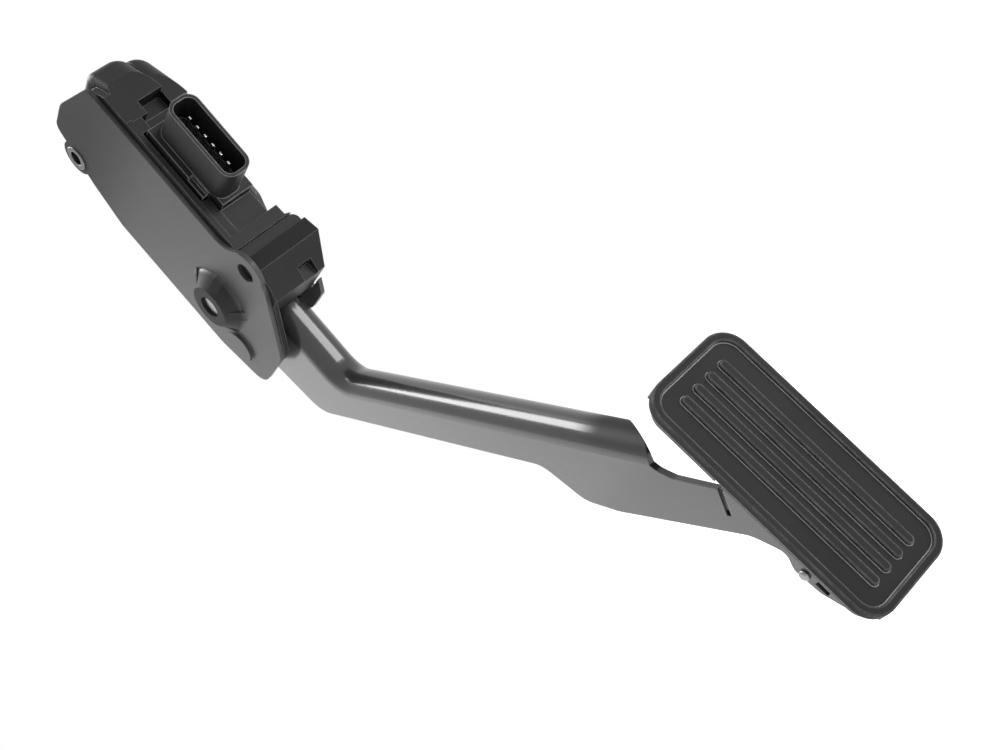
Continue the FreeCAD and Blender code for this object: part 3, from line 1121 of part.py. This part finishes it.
def return_springs():
    """Two nested coils about the hub between the arm's walls, each from its seat to the top of the crown."""
    coils = [("return_spring_outer", OUTER_MEAN, "outer_wire", 2, "outer_short"),
             ("return_spring_inner", INNER_MEAN, "inner_wire", 3, "inner_short")]
    for label, mean, wire, turns, back in coils:
        radius = size(mean)
        room = size(f"arm_wide - 2 * arm_sheet - 6 * gap - {wire}")
        upper = size(f"plate_back - plate_sheet - {back}")
        path = coil_path(radius, room, turns, upper, size("crown_top - leg_short"))
        first = FreeCAD.Vector(radius, -upper, 0)
        section = Part.Wire([Part.makeCircle(size(wire) / 2, first, FreeCAD.Vector(0, 1, 0))])
        spring = doc.addObject("Part::Feature", label)
        spring.Label = label
        spring.Shape = path.makePipeShell([section], True, True)
        near = size(f"{ARM_NEAR} + arm_sheet + 3 * gap + {wire} / 2")
        axes = (FreeCAD.Vector(0, 0, 1), FreeCAD.Vector(1, 0, 0), FreeCAD.Vector(0, 1, 0))
        place = FreeCAD.Vector(size(PIVOT[0]), near, size(PIVOT[1]))
        spring.Placement = FreeCAD.Placement(place, FreeCAD.Rotation(*axes, "XYZ"))
        PARTS.append(spring)


for make in (mounting_bracket, mount_sleeve, pedal_housing, rubber_stops, pivot_pin, pivot_bushes, hub_tube,
             pedal_arm, drive_pin, pad_rivet, pad_rubber, sensor_body, terminal_pins, sensor_rotor,
             sensor_inside, sensor_screws, return_springs):
    make()
doc.recompute()

for item in doc.Objects:
    if "Invalid" in item.State or "Error" in item.State:
        raise ValueError(f"{item.Label} failed: {item.State}")
for piece in PARTS:
    if piece.Shape.isNull() or not piece.Shape.isValid():
        raise ValueError(f"{piece.Label} has no valid shape")

os.makedirs("parts", exist_ok=True)
for piece in PARTS:
    piece.Shape.exportStep(f"parts/{piece.Label}.step")
    print(f"{piece.Label}: {len(piece.Shape.Solids)} solids, {piece.Shape.Volume / 1000:.2f} cm3")
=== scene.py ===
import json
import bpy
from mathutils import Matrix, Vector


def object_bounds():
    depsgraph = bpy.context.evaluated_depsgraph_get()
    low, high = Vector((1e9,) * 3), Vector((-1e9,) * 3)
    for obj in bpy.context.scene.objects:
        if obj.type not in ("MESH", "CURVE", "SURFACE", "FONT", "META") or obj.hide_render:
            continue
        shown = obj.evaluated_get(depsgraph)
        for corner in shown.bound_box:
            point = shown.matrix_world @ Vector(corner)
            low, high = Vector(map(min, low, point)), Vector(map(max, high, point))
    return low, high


bl_info = {
    "name": "Accelerator Pedal",
    "version": (1, 0, 0),
    "blender": (4, 5, 0),
    "location": "View3D > Sidebar > Pedal",
    "description": "Finishes and stage for an accelerator pedal with its position sensor",
    "category": "Object",
}

import bpy
import numpy as np
from mathutils import Matrix, Vector

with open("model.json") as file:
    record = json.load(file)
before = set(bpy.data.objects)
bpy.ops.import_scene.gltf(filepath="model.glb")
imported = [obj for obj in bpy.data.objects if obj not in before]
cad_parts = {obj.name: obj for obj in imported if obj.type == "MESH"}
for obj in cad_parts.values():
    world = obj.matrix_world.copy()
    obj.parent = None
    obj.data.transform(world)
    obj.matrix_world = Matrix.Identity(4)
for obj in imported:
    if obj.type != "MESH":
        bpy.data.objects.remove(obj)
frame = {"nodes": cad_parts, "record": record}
CAD_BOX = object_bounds()
SLOT_COLOUR = {finish["slot"]: tuple(finish["base_color"][:3]) for finish in frame["record"]["materials"]}
NODE_SLOT = {piece["node"]: piece["material_slot"] for piece in frame["record"]["subparts"]}
MIDDLE = (Vector(CAD_BOX[0]) + Vector(CAD_BOX[1])) / 2
PIVOT = frame["record"]["behaviour"]["joints"][0]["pos_m"]

# The camera's right and up, and directions along and over the lower arm.
RIGHT = Vector((0.3578, 0.6685, -0.6520))
UP = Vector((0.3056, 0.5760, 0.7582))
LOWER_ARM = (0.866, 0, -0.5)
OVER_ARM = (0.5, 0, 0.866)
UPRIGHT = (0, 0, 1)

# Each lamp's direction from the middle of the pedal, long axis, distance, size across and size along.
SIDE_LAMP = ((-0.9, -0.42, 0.03), UPRIGHT, 1.2, 1.2, 0.6)
TOP_LAMP = ((-0.42, -0.06, 0.9), LOWER_ARM, 1.05, 0.7, 0.9)
STRIP_LAMP = ((-0.42, -0.2, 0.885), LOWER_ARM, 1.0, 0.42, 0.9)
FRONT_LAMP = ((0.9, 0.4, 0.1), UPRIGHT, 1.1, 1.1, 0.3)

# Where the darkened and matt patches fade in and out, in metres: along and over the arm, before the plate,
# round the pivot and up the bracket; at the arm's crown end and the bracket's upper end the darkening is
# painted shade.
CROWN_END_START = (0.144, 0.158)
CROWN_END_STOP = (0.181, 0.184)
CROWN_FOOT = (-0.0625, -0.0585)
BOSS_OUT = (0.0002, 0.0016)
BOSS_ROUND = (0.0165, 0.018)
UPPER_END = (0.045, 0.095)

# How strongly a turn of the face shows as an edge, and the scale of the noise that breaks the edges up.
EDGE_GAIN = 5.0
EDGE_PATCHES = 220.0

# The light edges of the mouldings, and the painted highlights along the edges of the tread's ribs.
HOUSING_EDGE = (0.15, 0.15, 0.15)
SENSOR_EDGE = (0.24, 0.24, 0.24)
TREAD_PAINTED_HIGHLIGHT = (0.4, 0.4, 0.4)

# Worn edges against the rest, the drift of the roughness, and the height of the grain in metres.
WORN_GAIN = 1.8
WORN_ADD = 0.02
ROUGH_DRIFT = 0.12
GRAIN_HEIGHT = 0.0002

# Darkened and matt patches against the rest, painted shade at the arm's crown end and the bracket's upper
# end: their share of the colour, and what they add to the roughness.
PATCH_SHADE = 0.4
PATCH_ROUGH = 0.3

PAPER_WHITE = 0.85
PAPER_GLOW = 0.62
SENSOR_WIDE = 36
CLIP_START = 0.01


def colour_prop(name, slot, description, share=1.0):
    """A colour whose default is the record's colour of a material slot, or a share of it under gloss."""
    default = [part * share for part in SLOT_COLOUR[slot]]
    return bpy.props.FloatVectorProperty(
        name=name, description=description, default=default, size=3, min=0, max=1, subtype="COLOR")


def share_prop(name, default, description):
    """A share from 0 to 1."""
    return bpy.props.FloatProperty(
        name=name, description=description, default=default, min=0, max=1, subtype="FACTOR")


def length_prop(name, default, description):
    """A length in metres."""
    return bpy.props.FloatProperty(
        name=name, description=description, default=default, subtype="DISTANCE", unit="LENGTH")


def power_prop(name, default, description):
    """The power of a lamp in watts."""
    return bpy.props.FloatProperty(name=name, description=description, default=default, min=0, unit="POWER")


class PEDAL_PG_finish(bpy.types.PropertyGroup):
    """Colours and gloss of the pedal's pieces."""

    bracket: colour_prop("Bracket paint", "bracket_paint", "Satin paint on the folded bracket", 0.52)
    bracket_rough: share_prop("Bracket roughness", 0.36, "Roughness of the bracket's paint")
    arm: colour_prop("Arm paint", "arm_paint", "Glossy paint on the folded arm", 0.24)
    arm_rough: share_prop("Arm roughness", 0.27, "Roughness of the arm's paint")
    housing: colour_prop("Housing", "housing_plastic", "Moulded housing inside the near plate", 0.27)
    sensor: colour_prop("Sensor", "sensor_plastic", "Moulded sensor case and cover", 0.27)
    mould_rough: share_prop("Moulding roughness", 0.46, "Roughness of the mouldings")
    tread: colour_prop("Tread", "tread_rubber", "Ribbed rubber tread", 0.22)
    tread_rough: share_prop("Tread roughness", 0.55, "Roughness of the tread")
    stop: colour_prop("Stops", "stop_rubber", "Rubber bumpers")
    seal: colour_prop("Seal", "seal_rubber", "Seal under the sensor's cover")
    pin: colour_prop("Pins", "pin_steel", "Oiled pivot pin and drive pin", 0.3)
    sleeve: colour_prop("Sleeve and hub", "sleeve_steel", "Plated sleeve and hub tube")
    spring: colour_prop("Springs", "spring_steel", "Oiled spring wire")
    screw: colour_prop("Screws and rivet", "screw_steel", "Plated screws and rivet", 0.4)
    terminal: colour_prop("Terminals", "terminal_tin", "Tinned blades in the connector", 0.4)
    bush: colour_prop("Bushes", "bush_nylon", "Nylon pivot bushes")
    rotor: colour_prop("Rotor", "rotor_nylon", "Nylon rotor of the sensor")
    magnet: colour_prop("Magnet", "magnet", "Sintered magnet on the rotor")
    board: colour_prop("Board", "board", "Solder-masked board of the sensor")
    edge_width: length_prop("Edge width", 0.0006, "Width of the softened edges of mouldings and paint")


class PEDAL_PG_stage(bpy.types.PropertyGroup):
    """Camera, floor and lights."""

    eye: bpy.props.FloatVectorProperty(
        name="Eye", description="Place of the camera", default=(0.5203, -0.2215, -0.0934), size=3,
        subtype="TRANSLATION", unit="LENGTH")
    lens: bpy.props.FloatProperty(
        name="Lens", description="Focal length on a sensor 36 mm wide", default=52.2, unit="CAMERA")
    floor_drop: length_prop("Floor drop", 0.06, "Floor below the lowest point of the pedal")
    floor_side: length_prop("Floor side", 6.0, "Side of the square floor")
    side_power: power_prop("Side light", 2.3, "Power of the light that the near plate and arm mirror")
    top_power: power_prop("Top light", 1.6, "Power of the broad light over the arm's crown")
    strip_power: power_prop("Strip light", 14.0, "Power of the strip along the arm's crown")
    front_power: power_prop("Front light", 12.0, "Power of the strip that the upper arm mirrors")
    sky: bpy.props.FloatProperty(
        name="Sky", description="Strength of the even light from all round", default=0.5, min=0)


def group_tree(name, inputs, outputs):
    """An empty shader group with float inputs and outputs of the named kinds, and its end nodes."""
    tree = bpy.data.node_groups.new(name, "ShaderNodeTree")
    for label, default in inputs:
        socket = tree.interface.new_socket(label, in_out="INPUT", socket_type="NodeSocketFloat")
        socket.default_value = default
    for label, kind in outputs:
        tree.interface.new_socket(label, in_out="OUTPUT", socket_type=f"NodeSocket{kind}")
    return tree, tree.nodes.new("NodeGroupInput"), tree.nodes.new("NodeGroupOutput")


def math_node(tree, operation, first, second=None, clamp=False):
    """A math node whose inputs are sockets or numbers; returns its result."""
    node = tree.nodes.new("ShaderNodeMath")
    node.operation = operation
    node.use_clamp = clamp
    for place, value in enumerate((first, second)):
        if isinstance(value, bpy.types.NodeSocket):
            tree.links.new(value, node.inputs[place])
        elif value is not None:
            node.inputs[place].default_value = value
    return node.outputs[0]


def noise(tree, vector, scale, detail):
    """Soft noise on object coordinates; scale is a socket or a number."""
    node = tree.nodes.new("ShaderNodeTexNoise")
    node.inputs["Detail"].default_value = detail
    tree.links.new(vector, node.inputs["Vector"])
    if isinstance(scale, bpy.types.NodeSocket):
        tree.links.new(scale, node.inputs["Scale"])
    else:
        node.inputs["Scale"].default_value = scale
    return node.outputs["Fac"]


def soft_edges():
    """Edges by the angle between the face and its normal averaged over a small width, broken up by noise."""
    tree, start, end = group_tree(
        "SoftEdges", [("Width", 0.0006), ("Wear", 0.5)], [("Mask", "Float"), ("Normal", "Vector")])
    bevel = tree.nodes.new("ShaderNodeBevel")
    bevel.samples = 6
    tree.links.new(start.outputs["Width"], bevel.inputs["Radius"])
    face = tree.nodes.new("ShaderNodeNewGeometry")
    dot = tree.nodes.new("ShaderNodeVectorMath")
    dot.operation = "DOT_PRODUCT"
    tree.links.new(bevel.outputs[0], dot.inputs[0])
    tree.links.new(face.outputs["Normal"], dot.inputs[1])
    turn = math_node(tree, "SUBTRACT", 1.0, dot.outputs["Value"])
    place = tree.nodes.new("ShaderNodeTexCoord")
    patches = noise(tree, place.outputs["Object"], EDGE_PATCHES, 3.0)
    mask = math_node(tree, "MULTIPLY", math_node(tree, "MULTIPLY", turn, EDGE_GAIN, clamp=True), patches)
    tree.links.new(math_node(tree, "MULTIPLY", mask, start.outputs["Wear"]), end.inputs["Mask"])
    tree.links.new(bevel.outputs[0], end.inputs["Normal"])
    return tree


def fine_grain():
    """Grain of a moulding, paint or rubber: two sizes of noise as a height, and the coarse one as a tone."""
    tree, start, end = group_tree(
        "FineGrain", [("Scale", 2000.0), ("Drift", 18.0)], [("Height", "Float"), ("Tone", "Float")])
    place = tree.nodes.new("ShaderNodeTexCoord")
    fine = noise(tree, place.outputs["Object"], start.outputs["Scale"], 2.0)
    coarse = noise(tree, place.outputs["Object"], start.outputs["Drift"], 4.0)
    tree.links.new(fine, end.inputs["Height"])
    tree.links.new(coarse, end.inputs["Tone"])
    return tree


def group_node(tree, name, **values):
    """A shared group placed in a material with its own values."""
    node = tree.nodes.new("ShaderNodeGroup")
    node.node_tree = bpy.data.node_groups[name]
    for label, value in values.items():
        node.inputs[label].default_value = value
    return node


def mix_colour(tree, share, low, high):
    """A colour between two, by a mask."""
    node = tree.nodes.new("ShaderNodeMix")
    node.data_type = "RGBA"
    tree.links.new(share, node.inputs["Factor"])
    for socket, colour in ((node.inputs[6], low), (node.inputs[7], high)):
        if isinstance(colour, bpy.types.NodeSocket):
            tree.links.new(colour, socket)
        else:
            socket.default_value = (*colour, 1)
    return node.outputs[2]


def spread(tree, value, low, high, start=0.3, stop=0.7):
    """A value between start and stop carried to a range from low to high."""
    node = tree.nodes.new("ShaderNodeMapRange")
    node.interpolation_type = "SMOOTHSTEP"
    node.inputs["From Min"].default_value = start
    node.inputs["From Max"].default_value = stop
    node.inputs["To Min"].default_value = low
    node.inputs["To Max"].default_value = high
    tree.links.new(value, node.inputs["Value"])
    return node.outputs["Result"]


def vector_node(tree, operation, vector, value):
    """A vector math node on a vector socket and a constant vector."""
    node = tree.nodes.new("ShaderNodeVectorMath")
    node.operation = operation
    tree.links.new(vector, node.inputs[0])
    node.inputs[1].default_value = value
    return node


def reach(tree, direction):
    """How far the surface lies along a direction from the origin."""
    place = tree.nodes.new("ShaderNodeTexCoord").outputs["Object"]
    return vector_node(tree, "DOT_PRODUCT", place, direction).outputs["Value"]


def crown_end(tree):
    """The matt end of the arm's crown, darkened as painted shade: the last stretch along the lower arm,
    above the crown's axis.
    """
    run = reach(tree, LOWER_ARM)
    begun = spread(tree, run, 0, 1, *CROWN_END_START)
    not_over = spread(tree, run, 1, 0, *CROWN_END_STOP)
    over = spread(tree, reach(tree, OVER_ARM), 0, 1, *CROWN_FOOT)
    return math_node(tree, "MULTIPLY", math_node(tree, "MULTIPLY", begun, not_over), over)


def dark_boss_and_painted_shade(tree):
    """Where the bracket is darker: the boss before the near plate round the pivot, and painted shade towards
    the upper end.
    """
    place = tree.nodes.new("ShaderNodeTexCoord").outputs["Object"]
    level = vector_node(tree, "MULTIPLY", place, (1, 0, 1)).outputs["Vector"]
    away = vector_node(tree, "DISTANCE", level, (PIVOT[0], 0, PIVOT[2])).outputs["Value"]
    out = spread(tree, reach(tree, (0, -1, 0)), 0, 1, *BOSS_OUT)
    boss = math_node(tree, "MULTIPLY", out, spread(tree, away, 1, 0, *BOSS_ROUND))
    upper = spread(tree, reach(tree, UPRIGHT), 0, 1, *UPPER_END)
    return math_node(tree, "MAXIMUM", boss, upper)


def finish(slot, colour, rough, metal=0.0, coat=0.0, coat_rough=0.1, specular=0.5, grain=2000.0, depth=0.0,
           tone=0.12, edge=None, wear_and_highlight=0.4, patch=None):
    """Finishes every piece of a slot: a colour that drifts in tone, lighter on worn edges, over fine grain.

    A patch is a mask of what is darker, rougher and without its coat; the darkening is painted shade at the
    arm's crown end and the bracket's upper end. On the tread's ribs the lighter edges are a painted
    highlight.
    """
    material = bpy.data.materials.new(f"{slot}_finish")
    material.use_nodes = True
    tree = material.node_tree
    shader = tree.nodes["Principled BSDF"]
    shader.inputs["Metallic"].default_value = metal
    shader.inputs["Coat Weight"].default_value = coat
    shader.inputs["Coat Roughness"].default_value = coat_rough
    shader.inputs["Specular IOR Level"].default_value = specular
    skin = group_node(tree, "FineGrain", Scale=grain)
    width = bpy.context.scene.pedal_finish.edge_width
    edges = group_node(tree, "SoftEdges", Width=width, Wear=wear_and_highlight)
    dark = [part * (1 - tone) for part in colour]
    light = [min(1, part * (1 + tone)) for part in colour]
    tinted = mix_colour(tree, spread(tree, skin.outputs["Tone"], 0, 1), dark, light)
    worn_and_highlight = edge or [min(1, part * WORN_GAIN + WORN_ADD) for part in colour]
    # Lighter edges: wear, and on the tread's ribs a painted highlight.
    tinted = mix_colour(tree, edges.outputs["Mask"], tinted, worn_and_highlight)
    gloss = spread(tree, skin.outputs["Tone"], rough * (1 - ROUGH_DRIFT), rough * (1 + ROUGH_DRIFT))
    if patch:
        mask = patch(tree)
        # Darkens the colour under the patch: painted shade at the arm's crown end and the bracket's upper
        # end, and the darker boss round the pivot.
        tinted = mix_colour(tree, mask, tinted, [part * PATCH_SHADE for part in colour])
        gloss = math_node(tree, "ADD", gloss, math_node(tree, "MULTIPLY", mask, PATCH_ROUGH))
        if coat:
            kept = math_node(tree, "SUBTRACT", 1.0, mask)
            tree.links.new(math_node(tree, "MULTIPLY", kept, coat), shader.inputs["Coat Weight"])
    tree.links.new(tinted, shader.inputs["Base Color"])
    tree.links.new(gloss, shader.inputs["Roughness"])
    bump = tree.nodes.new("ShaderNodeBump")
    bump.inputs["Strength"].default_value = depth
    bump.inputs["Distance"].default_value = GRAIN_HEIGHT
    tree.links.new(skin.outputs["Height"], bump.inputs["Height"])
    tree.links.new(edges.outputs["Normal"], bump.inputs["Normal"])
    tree.links.new(bump.outputs["Normal"], shader.inputs["Normal"])
    nodes = [name for name, taken in NODE_SLOT.items() if taken == slot]
    if not nodes:
        raise RuntimeError(f"no piece takes the finish {slot}")
    for name in nodes:
        data = frame["nodes"][name].data
        data.materials.clear()
        data.materials.append(material)


class PEDAL_OT_shared(bpy.types.Operator):
    """Builds the shader groups that the finishes share"""

    bl_idname = "pedal.shared"
    bl_label = "Shared surface effects"

    def execute(self, context):
        soft_edges()
        fine_grain()
        return {"FINISHED"}


class PEDAL_OT_bracket(bpy.types.Operator):
    """Paints the folded bracket in satin grey"""

    bl_idname = "pedal.bracket"
    bl_label = "Bracket"

    def execute(self, context):
        look = context.scene.pedal_finish
        # The patch darkens the boss round the pivot and paints shade on the bracket's upper end.
        finish("bracket_paint", look.bracket, look.bracket_rough, specular=0.16, depth=0.3, grain=900.0,
               tone=0.25, patch=dark_boss_and_painted_shade)
        return {"FINISHED"}


class PEDAL_OT_arm(bpy.types.Operator):
    """Paints the folded arm in dark gloss"""

    bl_idname = "pedal.arm"
    bl_label = "Arm"

    def execute(self, context):
        look = context.scene.pedal_finish
        # The patch paints shade, with a matt finish and no coat, on the end of the crown.
        finish("arm_paint", look.arm, look.arm_rough, coat=0.62, coat_rough=0.14, specular=0.2, depth=0.1,
               grain=700.0, patch=crown_end)
        return {"FINISHED"}


class PEDAL_OT_mouldings(bpy.types.Operator):
    """Gives the housing and the sensor their textured black plastic"""

    bl_idname = "pedal.mouldings"
    bl_label = "Mouldings"

    def execute(self, context):
        look = context.scene.pedal_finish
        finish("housing_plastic", look.housing, look.mould_rough, specular=0.12, depth=0.35,
               edge=HOUSING_EDGE, wear_and_highlight=1.5)
        finish("sensor_plastic", look.sensor, look.mould_rough, specular=0.12, depth=0.3,
               edge=SENSOR_EDGE, wear_and_highlight=3.0)
        return {"FINISHED"}


class PEDAL_OT_rubber(bpy.types.Operator):
    """Gives the tread, the stops and the seal their rubber"""

    bl_idname = "pedal.rubber"
    bl_label = "Rubber"

    def execute(self, context):
        look = context.scene.pedal_finish
        # The tread's light rib edges are a painted highlight.
        finish("tread_rubber", look.tread, look.tread_rough, specular=0.1, grain=1500.0, depth=0.5,
               edge=TREAD_PAINTED_HIGHLIGHT, wear_and_highlight=6.0)
        finish("stop_rubber", look.stop, look.tread_rough, depth=0.2)
        finish("seal_rubber", look.seal, look.tread_rough, depth=0.2)
        return {"FINISHED"}


class PEDAL_OT_metalwork(bpy.types.Operator):
    """Gives the pins, sleeve, springs, screws and terminals their bare metal"""

    bl_idname = "pedal.metalwork"
    bl_label = "Metalwork"

    def execute(self, context):
        look = context.scene.pedal_finish
        finish("pin_steel", look.pin, 0.28, metal=1.0, depth=0.05)
        finish("sleeve_steel", look.sleeve, 0.36, metal=1.0, depth=0.1)
        finish("spring_steel", look.spring, 0.34, metal=1.0, depth=0.08)
        finish("screw_steel", look.screw, 0.32, metal=1.0, depth=0.08)
        finish("terminal_tin", look.terminal, 0.25, metal=1.0)
        return {"FINISHED"}


class PEDAL_OT_inside(bpy.types.Operator):
    """Gives the bushes, rotor, magnet and board their plain finishes"""

    bl_idname = "pedal.inside"
    bl_label = "Inner pieces"

    def execute(self, context):
        look = context.scene.pedal_finish
        finish("bush_nylon", look.bush, 0.45, depth=0.1)
        finish("rotor_nylon", look.rotor, 0.45, depth=0.1)
        finish("magnet", look.magnet, 0.5, metal=0.6, depth=0.2)
        finish("board", look.board, 0.35, depth=0.05)
        return {"FINISHED"}


def seen_directly(tree):
    """1 on rays from the camera and on mirrored and passed rays."""
    path = tree.nodes.new("ShaderNodeLightPath")
    mirrored = math_node(tree, "MAXIMUM", path.outputs["Is Glossy Ray"], path.outputs["Is Transmission Ray"])
    return math_node(tree, "MAXIMUM", path.outputs["Is Camera Ray"], mirrored)


def paper():
    """White paper that keeps shadows: matt, with a little light of its own for what sees it directly."""
    material = bpy.data.materials.new("paper")
    material.use_nodes = True
    tree = material.node_tree
    shader = tree.nodes["Principled BSDF"]
    shader.inputs["Base Color"].default_value = (PAPER_WHITE, PAPER_WHITE, PAPER_WHITE, 1)
    shader.inputs["Roughness"].default_value = 1.0
    shader.inputs["Specular IOR Level"].default_value = 0.0
    shader.inputs["Emission Color"].default_value = (1, 1, 1, 1)
    glow = math_node(tree, "MULTIPLY", seen_directly(tree), PAPER_GLOW)
    tree.links.new(glow, shader.inputs["Emission Strength"])
    return material


def area_light(name, direction, length, distance, across, along, power):
    """An oblong area light that looks at the middle of the pedal from a direction, long along another."""
    data = bpy.data.lights.new(name, "AREA")
    data.shape = "RECTANGLE"
    data.size = across
    data.size_y = along
    data.energy = power
    light = bpy.data.objects.new(name, data)
    bpy.context.scene.collection.objects.link(light)
    away = Vector(direction).normalized()
    side = Vector(length).cross(away).normalized()
    axes = Matrix((side, away.cross(side), away)).transposed()
    light.matrix_world = Matrix.Translation(MIDDLE + away * distance) @ axes.to_4x4()


class PEDAL_OT_stage(bpy.types.Operator):
    """Sets up the pale floor, the soft lights and the camera"""

    bl_idname = "pedal.stage"
    bl_label = "Stage"

    def execute(self, context):
        stage = context.scene.pedal_stage
        level = CAD_BOX[0][2] - stage.floor_drop
        corners = np.array([(-1, -1), (1, -1), (1, 1), (-1, 1)]) * stage.floor_side / 2
        points = np.column_stack([corners, np.full(4, level)])
        mesh = bpy.data.meshes.new("floor")
        mesh.from_pydata(points.tolist(), [], [(0, 1, 2, 3)])
        mesh.materials.append(paper())
        floor = bpy.data.objects.new("floor", mesh)
        context.scene.collection.objects.link(floor)

        world = bpy.data.worlds.new("studio")
        world.use_nodes = True
        tree = world.node_tree
        shade = tree.nodes["Background"]
        shade.inputs["Color"].default_value = (1, 1, 1, 1)
        bright = math_node(tree, "MULTIPLY", seen_directly(tree), 1 - stage.sky)
        tree.links.new(math_node(tree, "ADD", bright, stage.sky), shade.inputs["Strength"])
        context.scene.world = world

        area_light("side_light", *SIDE_LAMP, stage.side_power)
        area_light("top_light", *TOP_LAMP, stage.top_power)
        area_light("strip_light", *STRIP_LAMP, stage.strip_power)
        area_light("front_light", *FRONT_LAMP, stage.front_power)

        data = bpy.data.cameras.new("camera")
        data.lens = stage.lens
        data.sensor_width = SENSOR_WIDE
        data.sensor_fit = "HORIZONTAL"
        data.clip_start = CLIP_START
        camera = bpy.data.objects.new("camera", data)
        context.scene.collection.objects.link(camera)
        axes = Matrix((RIGHT, UP, RIGHT.cross(UP))).transposed()
        camera.matrix_world = Matrix.Translation(Vector(stage.eye)) @ axes.to_4x4()
        context.scene.camera = camera
        context.scene.view_settings.view_transform = "Standard"
        return {"FINISHED"}


class PEDAL_PT_panel(bpy.types.Panel):
    """The pedal's pieces and their finishes"""

    bl_idname = "PEDAL_PT_panel"
    bl_label = "Accelerator pedal"
    bl_space_type = "VIEW_3D"
    bl_region_type = "UI"
    bl_category = "Pedal"

    def draw(self, context):
        for group in (context.scene.pedal_finish, context.scene.pedal_stage):
            column = self.layout.column()
            for name in group.__annotations__:
                column.prop(group, name)
        for operator in OPERATORS:
            self.layout.operator(operator.bl_idname)


OPERATORS = (PEDAL_OT_shared, PEDAL_OT_bracket, PEDAL_OT_arm, PEDAL_OT_mouldings, PEDAL_OT_rubber,
             PEDAL_OT_metalwork, PEDAL_OT_inside, PEDAL_OT_stage)
CLASSES = (PEDAL_PG_finish, PEDAL_PG_stage, *OPERATORS, PEDAL_PT_panel)


def register():
    for item in CLASSES:
        bpy.utils.register_class(item)
    bpy.types.Scene.pedal_finish = bpy.props.PointerProperty(type=PEDAL_PG_finish)
    bpy.types.Scene.pedal_stage = bpy.props.PointerProperty(type=PEDAL_PG_stage)


def unregister():
    del bpy.types.Scene.pedal_stage
    del bpy.types.Scene.pedal_finish
    for item in reversed(CLASSES):
        bpy.utils.unregister_class(item)


def main():
    register()
    for item in OPERATORS:
        family, name = item.bl_idname.split(".")
        getattr(getattr(bpy.ops, family), name)()


if __name__ == "__main__":
    main()
